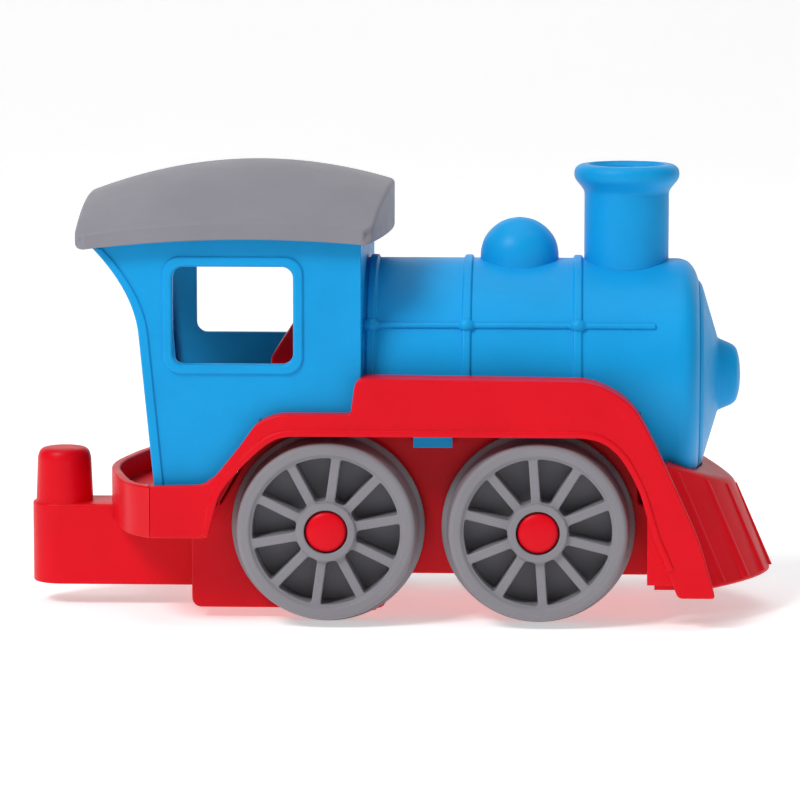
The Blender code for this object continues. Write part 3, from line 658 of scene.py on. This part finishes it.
def make_underframe():
    """Trough between the wheels with its axle slots, screw bosses and rounded corners."""
    outline = flowing([(-67.2, DEEP_Z, 3.0), (-4.0, DEEP_Z, 3.0), (-4.0, KEEL_Z, 1.5),
                       (90.0, KEEL_Z, 2.5), (90.0, 36.0, 1.5), (77.4, 38.0, 1.5),
                       (77.4, DECK_Z - GAP, 0), (-42.6, DECK_Z - GAP, 0), (-57.6, 37.7, 0),
                       (-67.2, 37.7, 1.5)], closed=True)
    trough = soft_prism(outline, -FRAME_Y, FRAME_Y, "Y", 0.7, 0.7)
    hollow = [(-67.2 + WALL, DEEP_Z + WALL), (-4.0 - WALL, DEEP_Z + WALL),
              (-4.0 - WALL, KEEL_Z + WALL), (90.0 - WALL, KEEL_Z + WALL), (90.0 - WALL, 50.0),
              (77.4 - WALL, 50.0), (77.4 - WALL, 80.0), (-67.2 + WALL, 80.0)]
    cut(trough, prism(hollow, -FRAME_Y + WALL, FRAME_Y - WALL))
    for side in (-1, 1):
        for x, y in BODY_SCREWS:
            join(trough, rod(KEEL_Z + 1, DECK_Z - GAP, 4.4, 32, "Z", (x, side * y, 0)))
            cut(trough, rod(KEEL_Z - 3, 55.0, 3.0, 32, "Z", (x, side * y, 0)))
            cut(trough, rod(50.0, DECK_Z + 3, SCREW_SHANK + GAP, 20, "Z", (x, side * y, 0)))
    for name, x in AXLES.items():
        low = DEEP_Z if name == "rear" else KEEL_Z
        for step in KEEPER_SCREW_STEPS:
            join(trough, rod(low + 1, low + 10, 3.8, 32, "Z", (x + step, 0, 0)))
            cut(trough, rod(low - 3, low + 8, SCREW_SHANK + 0.2, 20, "Z", (x + step, 0, 0)))
        slot = [(x - 2.4, low - 3), (x + 2.4, low - 3)]
        slot += [(x + 2.4 * math.cos(t * math.pi / 16), AXLE_Z + 2.4 * math.sin(t * math.pi / 16))
                 for t in range(17)]
        cut(trough, prism(slot, -FRAME_Y - 3, FRAME_Y + 3))
    cut(trough, box((-70.0, -60.0), (-8.3, 8.3), (8.0, 30.0)))
    return cut(trough, turned([(DEEP_Z - 0.5, 0), (DEEP_Z - 0.5, 3.4), (DEEP_Z + 1.3, 1.65),
                               (DEEP_Z + 5, 1.65), (DEEP_Z + 5, 0)], 32,
                              (COUPLING_SCREW_X, 0, 0), "Z"))


def make_keeper(name):
    """Plate under an axle, with two tongues that close its bearing slots."""
    x = AXLES[name]
    low = KEEPER_LOW[name]
    corners = [(x - 15, -24, 3), (x + 15, -24, 3), (x + 15, 24, 3), (x - 15, 24, 3)]
    plate = soft_prism(flowing(corners, closed=True, steps=6), low, low + 1.8, "Z", 0.35, 0.35)
    join(plate, *[box((x - 2.1, x + 2.1), (side * 26.4 - 4.2, side * 26.4 + 4.2),
                      (low + 0.6, AXLE_Z - AXLE_R - 0.1)) for side in (-1, 1)])
    for step in KEEPER_SCREW_STEPS:
        cut(plate, turned([(low - 0.5, 0), (low - 0.5, 3.3), (low + 2.3, 1.6), (low + 2.3, 0)],
                          32, (x + step, 0, 0), "Z"))
    return plate


def make_screw(x, low, head, length):
    """Countersunk cross-head screw that points up, with its head at the bottom."""
    screw = turned([(low, 0), (low, head - 0.15), (low + 0.12, head), (low + head * 0.65, 1.35),
                    (low + length, SCREW_SHANK), (low + length + 0.7, 0)], 32, (x, 0, 0), "Z")
    for half_x, half_y in ((head * 0.6, 0.32), (0.32, head * 0.6)):
        cut(screw, box((x - half_x, x + half_x), (-half_y, half_y), (low - 1, low + 0.8)))
    return screw


def make_coupling_arm():
    """Tongue with a round end and an upright peg, hollow from below, and its screw's shank."""
    end, low, top, peg_top = ARM_LOW.x, ARM_LOW.z, 33.7, ARM_HIGH.z

    def plan(front, away, steps):
        reach = ARM_HALF - away
        turns = [math.pi * k / steps for k in range(steps + 1)]
        return ([(front, -reach)]
                + [(end + ARM_HALF - reach * math.sin(t), -reach * math.cos(t)) for t in turns]
                + [(front, reach)])

    arm = soft_prism(plan(-67.5, 0, 48), low, top, "Z", 0.5, 0.9)
    peg = flowing([(top - 2, 9.4), (top, 9.4, 0.3), (peg_top - 2.9, 8.8, 1.6),
                   (peg_top - 0.5, 7.8, 1.4), (peg_top, 5.2, 1.4), (peg_top, 0)], steps=6)
    join(arm, turned([(top - 2, 0)] + peg, 72, (PEG_X, 0, 0), "Z"))
    cut(arm, prism(plan(-72.0, WALL, 32), low - 3, top - WALL, "Z"))
    cut(arm, rod(top - 6, peg_top - WALL, 6.4, 40, "Z", (PEG_X, 0, 0)))
    join(arm, box((-70.0, -52.0), (-8.0, 8.0), (8.3, 29.7)))
    return cut(arm, rod(low - 3, 20.0, SCREW_SHANK + 0.2, 24, "Z", (COUPLING_SCREW_X, 0, 0)))


def catcher_foot(y):
    """X of the cowcatcher's lower front edge at a distance y from the middle plane."""
    return 121.5 - 0.0428 * abs(y) ** 1.665


def catcher_corners(y, grow, low):
    """(x, z) corners at y: rear, foot, front edge of the sloping top and rear of the top."""
    foot = catcher_foot(y)
    back = 82.6 - 4 * (grow < 0)
    brow = max((foot - 31.82) / 0.8225, back + 0.9)
    return [(back, low, 0), (foot + grow, low, 1.1),
            (brow + grow, 53.0 - 0.433 * (brow - 85.0) + min(grow, 0), 1.6),
            (back, 54.0 + min(grow, 0), 0)]


def catcher_loft(half, rows, grow, low, away=0.0):
    """A solid across the pilot; away rounds its two ends over that distance."""
    turns = quarter_turn(4)[:-1] if away else []
    rounding = [away * (1 - math.sin(turn)) for turn in turns]
    places = [-half + away * (1 - math.cos(turn)) for turn in turns]
    middle = [-half + away + 2 * (half - away) * i / rows for i in range(rows + 1)]
    rows_and_insets = list(zip(places, rounding)) + [(y, 0.0) for y in middle]
    rows_and_insets += [(-y, amount) for y, amount in list(zip(places, rounding))[::-1]]
    sections = []
    for y, amount in rows_and_insets:
        ring = flowing(catcher_corners(y, grow, low), closed=True, steps=4)
        sections.append([(x, y, z) for x, z in inset(ring, amount)])
    return lofted(sections)


def make_cowcatcher():
    """Swept pilot: a hollow wedge with raised slanting ribs, notched for the smokebox."""
    foot_z = span("cowcatcher")[0].z
    pilot = cut(catcher_loft(43.0, 56, 0, foot_z, 0.3), catcher_loft(40.6, 28, -WALL, foot_z - 5))
    for y in range(-36, 37, 12):
        sections = []
        for step, height in ((-1.5, -0.3), (-1.1, 0.22), (-0.5, 0.43), (0, 0.46), (0.5, 0.43),
                             (1.1, 0.22), (1.5, -0.3)):
            corners = catcher_corners(y + step, height, foot_z + 1.5)
            foot, brow = corners[1], corners[2]
            brow = (brow[0] + 0.7, brow[1] - 1.8)
            sections.append([(foot[0], y + step, foot[1]), (brow[0], y + step, brow[1]),
                             (brow[0] - 2.4, y + step, brow[1]),
                             (foot[0] - 2.4, y + step, foot[1])])
        join(pilot, lofted(sections))
    notch = turned([(70.0, 0), (70.0, BOILER_R + GAP), (RIM_X, BOILER_R + GAP),
                    (RIM_X + 1.5, 37.3), (RIM_X + 3.8, 34.6), (NOSE_X + 0.5, 31.2), (98.6, 29.7),
                    (103.8, 12.3), (103.8, 0)], 160, (0, 0, BOILER_Z), "X")
    return cut(pilot, notch, box((80.0, 86.4), (-37.6, 37.6), (30.0, 60.0)))


def make_console():
    """Driver's desk on a pedestal in front of the boiler's open end."""
    floor = DECK_Z + DECK_T + GAP
    outline = [(-33.0, floor, 1), (-17.0, floor, 1), (-17.0, 96.0, 3), (-24.0, 108.0, 1.6),
               (-27.6, 106.0, 1.6), (-42.6, 82.8, 1.6), (-41.6, 79.5, 1.6), (-37.6, 79.3, 1.6),
               (-33.0, 86.0, 3)]
    return soft_prism(flowing(outline, closed=True), -16.0, 16.0, "Y", 0.9, 0.9)


# ---------------------------------------------------------------- blue mouldings

def under_roof():
    """Everything below the roof's inner skin, to trim the top of the cab."""
    columns, rows = 24, 12
    sections = []
    for i in range(columns + 1):
        x = -106.0 + 100.0 * i / columns
        steps = [-60.0 + 62.0 * j / rows for j in range(rows + 1)]
        top = [(x, y, vault_z(x, min(abs(y), 48.0)) - WALL - 3 * GAP) for y in steps]
        sections.append([(x, -60.0, 20.0)] + top + [(x, 2.0, 20.0)])
    return lofted(sections)


def boiler_profile():
    """Outer (x, radius) line of the boiler with its raised hoops and rounded front rim."""
    start = CAB_FRONT - 1.2
    line = [(start, BOILER_R)]
    for x in BANDS:
        line += [(max(start + 0.1, x - BAND_W / 2 - 0.1), BOILER_R, 0.25),
                 (x - BAND_W / 2 + 0.3, BOILER_R + 1.0, 0.5),
                 (x + BAND_W / 2 - 0.3, BOILER_R + 1.0, 0.5),
                 (x + BAND_W / 2 + 0.1, BOILER_R, 0.25)]
    line += [(RIM_X - 1.4, BOILER_R, 1.4), (RIM_X + 1.2, 37.0, 1.3), (RIM_X + 3.4, 34.4, 1.8),
             (NOSE_X, 30.9)]
    return flowing(line)


def rail_profile():
    """A thin straight handrail with a round knob where it crosses each hoop."""
    line = [(-12.2, 0.95)]
    for x in BANDS:
        line += [(x - 2.6, 0.95, 0.4), (x - 1.7, 1.8), (x, 2.5), (x + 1.7, 1.8),
                 (x + 2.6, 0.95, 0.4)]
    return [(-12.2, 0)] + flowing(line + [(82.2, 0.95, 0.4), (82.6, 0.55)]) + [(82.6, 0)]


def window_outline(grow):
    x0, x1, z0, z1 = WINDOW
    bend = (WINDOW_R + grow * 0.6) * 1.05
    return flowing([(x0 - grow, z0 - grow, bend), (x1 + grow, z0 - grow, bend),
                    (x1 + grow, z1 + grow, bend), (x0 - grow, z1 + grow, bend)],
                   steps=8, closed=True)


def make_cab():
    """Right side wall, front wall and inturned rear edge, trimmed under the roof."""
    heights = [40.8, 55.0, 70.0, 82.0] + [FLARE_Z + 2.0 * k for k in range(15)] + [150.0]
    rear = [(cab_rear(z), z) for z in heights]
    lower = [(CAB_FRONT, 150.0), (CAB_FRONT, 66.9), (-43.5, 66.9), (-57.0, 44.5), (-58.6, 40.8)]
    cab = soft_prism(rear + lower, -CAB_Y, 3.0, "Y", 0.5, 0)
    inner = [(x + WALL, z) for x, z in [(cab_rear(20.0), 20.0)] + rear[1:-1]
             + [(cab_rear(170.0), 170.0)]]
    inner += [(CAB_FRONT - WALL, 170.0), (CAB_FRONT - WALL, 20.0)]
    cut(cab, prism(inner, -CAB_Y + WALL, 9.0), box((-130.0, -70.0), (-40.0, 9.0), (20.0, 170.0)))
    boolean(cab, under_roof(), "INTERSECT")
    edge = heights[1:-1]
    bead = soft_prism([(cab_rear(z) + 0.09, z) for z in [42.0] + edge]
                      + [(cab_rear(z) + 3.2, z) for z in edge[::-1] + [42.0]],
                      -CAB_Y - BEAD_PROUD, -CAB_Y + 1.2, "Y", 0.6, 0)
    join(cab, bead)
    join(cab, soft_prism(window_outline(3.3), -CAB_Y - FRAME_PROUD, -CAB_Y + 1.2, "Y", 0.85, 0))
    return cut(cab, flared(window_outline(0), -CAB_Y - FRAME_PROUD, -CAB_Y + WALL, "Y", 1.1, 0.4))


def make_body_half():
    """Right half of the shell: cab, boiler, dome, handrail and window frame."""
    body = make_cab()
    outer = boiler_profile()
    inner_r = BOILER_R - WALL
    inner = [(NOSE_X, NOSE_BORE_R), (NOSE_X - WALL, NOSE_BORE_R), (NOSE_X - WALL, 32.0),
             (RIM_X, inner_r), (outer[0][0], inner_r)]
    barrel = turned(outer + inner, 160, (0, 0, BOILER_Z), "X")
    cut(barrel, box((CAB_FRONT - 5, BODY_LOW_FRONT), (-60, 60), (20.0, BODY_LOW)))
    dome = [(111.6, DOME_R)] + flowing([(111.8, DOME_R), (117.5, DOME_R, 3.5), (121.6, 11.6),
                                        (125.2, 8.6), (127.6, 4.6), (128.3, 0)])
    join(barrel, turned([(111.6, 0)] + dome, 72, (DOME_X, 0, 0), "Z"))
    join(barrel, box((5.0, 17.5), (-36.6, -34.2), (57.0, 71.5)),
         box((5.6, 16.9), (-35.0, -31.7), (60.2, 63.6)))
    rail = (0, -RAIL_R * math.cos(RAIL_TURN), BOILER_Z + RAIL_R * math.sin(RAIL_TURN))
    join(barrel, turned(rail_profile(), 20, rail, "X", 0.2))
    dome_in = [(105.0, 0), (105.0, 10.4), (117.2, 10.4), (120.4, 9.2), (124.0, 5.6), (125.6, 0)]
    cut(barrel, turned(dome_in, 48, (DOME_X, 0, 0), "Z"))
    hole = [(100, 0), (100, CHIMNEY_PLUG_R + GAP), (125, CHIMNEY_PLUG_R + GAP), (125, 0)]
    cut(barrel, turned(hole, 50, (CHIMNEY_X, 0, 0), "Z", 0.3))
    cut(body, turned([(CAB_FRONT - 9, 0), (CAB_FRONT - 9, BOILER_R - 0.8),
                      (CAB_FRONT + 5, BOILER_R - 0.8), (CAB_FRONT + 5, 0)],
                     100, (0, 0, BOILER_Z), "X", 0.3))
    join(body, barrel)
    return boolean(body, box((-200, 200), (-80.0, -SEAM), (-10, 200)), "INTERSECT")


def make_door():
    """Smokebox front: a shallow cone with a round knob, on a spigot inside the rim."""
    face = NOSE_X + HAIR
    tip = DOOR_HIGH.x
    front = flowing([(face, SPIGOT_R), (face, 30.9, 0.4), (98.2, 29.4, 0.8), (103.4, 12.0, 0.6),
                     (104.2, 11.6, 0.5), (108.2, 9.9, 1.4), (109.6, 8.6, 1.2), (110.6, 5.0, 1.6),
                     (tip, 0)])
    door = turned([(91.0, 0), (91.0, SPIGOT_R)] + front, 128, (0, 0, BOILER_Z), "X")
    return cut(door, turned([(85.0, 0), (85.0, 26.0), (97.6, 26.0), (101.4, 9.6), (106.4, 7.6),
                             (106.4, 0)], 64, (0, 0, BOILER_Z), "X"))


def make_chimney():
    """Turned chimney with a rolled lip, seated on the boiler by a saddle and a plug."""
    top = CHIMNEY_HIGH.z
    outer = flowing([(100.0, CHIMNEY_R), (top - 8.7, CHIMNEY_R, 2.0), (top - 7.1, 15.0),
                     (top - 4.7, 17.0), (top - 2.8, CHIMNEY_LIP), (top - 1.1, 16.8),
                     (top, 15.2, 0.8), (top, 12.0)])
    chimney = turned([(100.0, 0)] + outer + [(top, 0)], 96, (CHIMNEY_X, 0, 0), "Z")
    cut(chimney, rod(CHIMNEY_X - 30, CHIMNEY_X + 30, BOILER_R + 0.04, 200, "X", (0, 0, BOILER_Z)))
    join(chimney, rod(107.6, 118.0, CHIMNEY_PLUG_R, 60, "Z", (CHIMNEY_X, 0, 0)))
    bore = flowing([(100.0, 8.2), (120.0, 8.2, 0.5), (122.0, 10.4, 0.5), (top - 1.7, 10.8, 1.5),
                    (top + 0.02, 12.8, 1.0), (top + 2.0, 12.9)])
    return cut(chimney, turned([(100.0, 0)] + bore + [(top + 2.0, 0)], 84,
                               (CHIMNEY_X, 0, 0), "Z"))


# ---------------------------------------------------------------- roof and running gear

def roof_front(y):
    """X of the roof's front edge, bowed forward in the middle."""
    return ROOF_HIGH.x - ROOF_BOW * (abs(y) / ROOF_Y) ** 1.5


def roof_section(part, away):
    """Outer section of the roof at a part of its length, shrunk by away near its ends."""
    reach, columns = ROOF_Y - away, 40

    def along(y):
        over = max(0.0, abs(y) - (reach - ROOF_CORNER)) / ROOF_CORNER
        back = ROOF_CORNER * (1 - math.sqrt(max(0.0, 1 - over ** 2)))
        return ROOF_LOW.x + back + (roof_front(y) - ROOF_LOW.x - 2 * back) * part

    def top(y, drop=0.0):
        x = along(y)
        return (x, y, vault_z(x, min(abs(y), reach - LIP_BEND)) - away - drop)

    side = top(-reach, LIP_BEND)
    inside = min(min(part, 1 - part) * (ROOF_HIGH.x - ROOF_LOW.x), ROOF_TURN)
    edge = lip_z(side[0]) + ROOF_TURN - math.sqrt(ROOF_TURN ** 2 - (ROOF_TURN - inside) ** 2)
    edge = min(edge, side[2] - 0.9)
    upper = [(side[0], -reach, edge + 0.7)]
    upper += [top(-reach + LIP_BEND * (1 - math.cos(t)), LIP_BEND * (1 - math.sin(t)))
              for t in quarter_turn(4)]
    upper += [top(-(reach - LIP_BEND) * (1 - 2 * j / columns)) for j in range(1, columns // 2)]
    lower = [(along(-reach + step), -reach + step, edge + rise)
             for step, rise in ((0.2, 0.2), (0.45, 0.06), (0.7, 0.0), (0.9, 0.0), (1.1, 0.0),
                                (LIP_BEND, 0.0))]
    lower += [(x, y, edge) for x, y, _ in upper[6:]]
    upper += [top(0.0)] + [(x, -y, z) for x, y, z in upper[::-1]]
    lower += [(along(0.0), 0.0, edge)] + [(x, -y, z) for x, y, z in lower[::-1]]
    return upper + lower[::-1]


def make_roof():
    """Vaulted roof with a turned-down lip and rounded corners, hollow from below."""
    length = ROOF_HIGH.x - ROOF_LOW.x
    ends = [(ROOF_RIM * (1 - math.cos(t)), ROOF_RIM * (1 - math.sin(t)))
            for t in quarter_turn(4)[:-1]]
    close = 8.4                          # sections stand closer together up to this step
    ends += [(step, 0.0) for step in (ROOF_RIM, 1.8, 2.6, 3.6, 4.8, 6.4, close)]
    middle = [(close + (length - 2 * close) * i / 40, 0.0) for i in range(1, 40)]
    places = ends + middle + [(length - step, away) for step, away in ends[::-1]]
    sections = [roof_section(step / length, away) for step, away in places]
    inner, reach, rows = [], ROOF_Y - WALL, 20
    for i in range(25):
        section = []
        for j in range(rows + 1):
            y = -reach + 2 * reach * j / rows
            start, end = ROOF_LOW.x + WALL, roof_front(y) - WALL
            x = start + (end - start) * i / 24
            section.append((x, y, vault_z(x, y) - WALL))
        inner.append(section + [(x, y, 90.0) for x, y, _ in section[::-1]])
    return cut(lofted(sections, strips=True), lofted(inner, strips=True))


def pocket_outline(x, turn):
    """Wedge between two spokes, in (x, z), with rounded corners."""
    half = SPOKE_W / 2
    corners = []
    for radius, count, bend in ((POCKET_IN, 2, 0.8), (POCKET_OUT, 9, 1.5)):
        edge = math.asin(half / radius)
        wide = 2 * math.pi / SPOKES - 2 * edge
        places = [turn + edge + wide * step / (count - 1) for step in range(count)]
        if radius == POCKET_OUT:
            places = places[::-1]
        for i, place_turn in enumerate(places):
            corner = (x + radius * math.cos(place_turn), AXLE_Z + radius * math.sin(place_turn))
            corners.append((*corner, bend if i in (0, count - 1) else 0.0))
    return flowing(corners, closed=True, steps=4)


def make_wheel(name):
    """Spoked wheel: turned rim, flange, web and hub, with ten pockets between the spokes."""
    x = AXLES[name]
    profile = flowing([(WHEEL_IN, BORE_R, 0), (WHEEL_IN, 6.0, 0.5), (34.4, 6.0, 0.4),
                       (34.4, 30.9, 0.5), (35.8, FLANGE_R, 0.9), (37.4, 29.4, 0.8),
                       (48.8, 28.6, 0.7), (49.6, 27.6, 0.7), (49.6, 24.9, 0.5), (48.6, 24.1, 0.4),
                       (48.6, 9.8, 0.3), (50.0, 9.4, 0.5), (50.0, 7.0, 0.4), (44.0, 7.0, 0.3),
                       (44.0, BORE_R, 0)], closed=True)
    wheel = turned([(-a, r) for a, r in profile], 120, (x, 0, AXLE_Z), "Y", 0)
    for k in range(SPOKES):
        turn = math.radians(SPOKE_TURN[name]) + 2 * math.pi * k / SPOKES
        cut(wheel, pocket_cutter(x, turn))
    return wheel


def pocket_cutter(x, turn):
    """Cutter of one pocket: straight walls that flare into rounded spoke edges at the face."""
    flare, face = 0.5, -48.6
    levels = [(face - 3.0, -flare)]
    levels += [(face + flare - (flare + 0.01) * math.sin(t), -flare * (1 - math.cos(t)))
               for t in quarter_turn(4)[::-1]]
    levels += [(-POCKET_FLOOR, 0.0)]
    return stacked(pocket_outline(x, turn), levels, "Y")


def make_cap(name):
    """Domed hub cap with a socket for the axle's end."""
    profile = flowing([(44.3, CAP_R), (49.0, CAP_R, 0.8), (49.8, 5.4), (50.2, 3.0), (50.3, 0)])
    cap = turned([(-a, r) for a, r in [(44.3, 0)] + profile], 64, (AXLES[name], 0, AXLE_Z), "Y")
    return cut(cap, rod(-47.3, -42.0, AXLE_R + 0.1, 32, "Y", (AXLES[name], 0, AXLE_Z)))


def make_axle(name):
    """Steel rod with chamfered ends."""
    half = AXLE_HALF
    return turned([(-half, 0), (-half, AXLE_R - 0.3), (-half + 0.3, AXLE_R),
                   (half - 0.3, AXLE_R), (half, AXLE_R - 0.3), (half, 0)], 48,
                  (AXLES[name], 0, AXLE_Z), "Y")


# ---------------------------------------------------------------- the engine

blue = plastic("blue_plastic", BLUE)
red = plastic("red_plastic", RED)
grey = plastic("grey_plastic", GREY, mottle=0.05, wear=0.3)
wheel_grey = plastic("wheel_plastic", WHEEL_GREY, mottle=0.05, wear=0.3)
metal = steel()

fender = make_fender()
place(mirrored(fender), "fender_left", "red_plastic", red)
place(fender, "fender_right", "red_plastic", red)
place(make_rear_tray(), "rear_tray", "red_plastic", red)
place(make_underframe(), "underframe", "red_plastic", red)
place(make_coupling_arm(), "coupling_arm", "red_plastic", red)
place(make_cowcatcher(), "cowcatcher", "red_plastic", red)
place(make_console(), "cab_console", "red_plastic", red)

body = make_body_half()
place(mirrored(body), "body_left", "blue_plastic", blue)
place(body, "body_right", "blue_plastic", blue)
place(make_door(), "smokebox_door", "blue_plastic", blue)
place(make_chimney(), "chimney", "blue_plastic", blue)
place(make_roof(), "roof", "grey_plastic", grey)

for name in AXLES:
    wheelset = f"{name}_wheelset"
    place(make_axle(name), f"{name}_axle", "steel", metal, wheelset)
    place(make_keeper(name), f"{name}_axle_keeper", "red_plastic", red)
    for number, step in enumerate(KEEPER_SCREW_STEPS, 1):
        place(make_screw(AXLES[name] + step, KEEPER_LOW[name], 2.7, 8.5),
              f"{name}_keeper_screw_{number}", "steel", metal)
    for make, part, material, slot in ((make_wheel, "wheel", wheel_grey, "wheel_plastic"),
                                       (make_cap, "hub_cap", red, "red_plastic")):
        right = make(name)
        place(mirrored(right), f"{name}_left_{part}", slot, material, wheelset)
        place(right, f"{name}_right_{part}", slot, material, wheelset)
place(make_screw(COUPLING_SCREW_X, DEEP_Z + 0.05, 2.6, 14.1), "coupling_screw", "steel", metal)

for node, material in [("deck", red)] + [(f"body_screw_{n}", metal) for n in (1, 2, 3, 4)]:
    for material_slot in frame["nodes"][node].material_slots:
        material_slot.material = material


# ---------------------------------------------------------------- studio

def make_floor():
    """A wide pale sheet, in metres, that curves up behind the object."""
    reach, back, bend_r, rise = 3.0, 1.6, 0.8, 2.4
    ground = CAD_LOW.z
    bend = [(back + bend_r * math.sin(t), ground + bend_r * (1 - math.cos(t)))
            for t in quarter_turn(16)]
    line = [(-reach, ground)] + bend + [(back + bend_r, rise)]
    bm = bmesh.new()
    rows = [[bm.verts.new((side * reach, y, z)) for side in (-1, 1)] for y, z in line]
    for a, b in zip(rows, rows[1:]):
        bm.faces.new((a[0], a[1], b[1], b[0]))
    mesh = bpy.data.meshes.new("floor")
    bm.to_mesh(mesh)
    bm.free()
    mesh.shade_smooth()
    floor = bpy.data.objects.new("floor", mesh)
    bpy.context.collection.objects.link(floor)
    g = Graph("pale_paper")
    g.put(g.mix(g.noise(3, 2), (0.86, 0.86, 0.86, 1), (0.90, 0.90, 0.90, 1)),
          g.shader.inputs["Base Color"])
    g.shader.inputs["Roughness"].default_value = 0.9
    g.shader.inputs["Specular IOR Level"].default_value = 0.1
    g.shader.inputs["Emission Color"].default_value = (1, 1, 1, 1)
    g.shader.inputs["Emission Strength"].default_value = 0.42
    mesh.materials.append(g.material)


def area_light(name, place_at, size, power):
    """A rectangular light aimed at the middle of the engine."""
    light = bpy.data.lights.new(name, "AREA")
    light.shape = "RECTANGLE"
    light.size, light.size_y = size
    light.energy = power
    obj = bpy.data.objects.new(name, light)
    obj.location = place_at
    aim = Vector((0, 0, 0.07)) - Vector(place_at)
    obj.rotation_euler = aim.to_track_quat("-Z", "Y").to_euler()
    bpy.context.collection.objects.link(obj)


def make_camera():
    """Long lens a little above the engine's right side, as in a product picture."""
    azimuth, elevation, distance = math.radians(2.4), math.radians(7.6), 1.457
    middle = (CAD_LOW + CAD_HIGH) / 2
    target = middle + Vector((-0.0008, 0, -0.0059))
    target.y = 0
    back = Vector((math.sin(azimuth) * math.cos(elevation),
                   -math.cos(azimuth) * math.cos(elevation), math.sin(elevation)))
    camera = bpy.data.cameras.new("camera")
    camera.lens, camera.sensor_width = 199.0, 36.0
    camera.clip_start, camera.clip_end = 0.05, 20.0
    obj = bpy.data.objects.new("camera", camera)
    obj.location = target + back * distance
    obj.rotation_euler = (-back).to_track_quat("-Z", "Y").to_euler()
    bpy.context.collection.objects.link(obj)
    bpy.context.scene.camera = obj


make_floor()
make_camera()
area_light("key", (-1.1, -1.25, 1.75), (0.8, 0.8), 36)
area_light("top", (0.1, 0.1, 1.7), (1.8, 1.4), 10)
area_light("fill", (1.6, -1.3, 0.7), (1.0, 1.0), 2)
world = bpy.data.worlds.new("studio")
world.use_nodes = True
world.node_tree.nodes["Background"].inputs["Color"].default_value = (1, 1, 1, 1)
world.node_tree.nodes["Background"].inputs["Strength"].default_value = 0.15
bpy.context.scene.world = world
bpy.context.scene.view_settings.view_transform = "Standard"
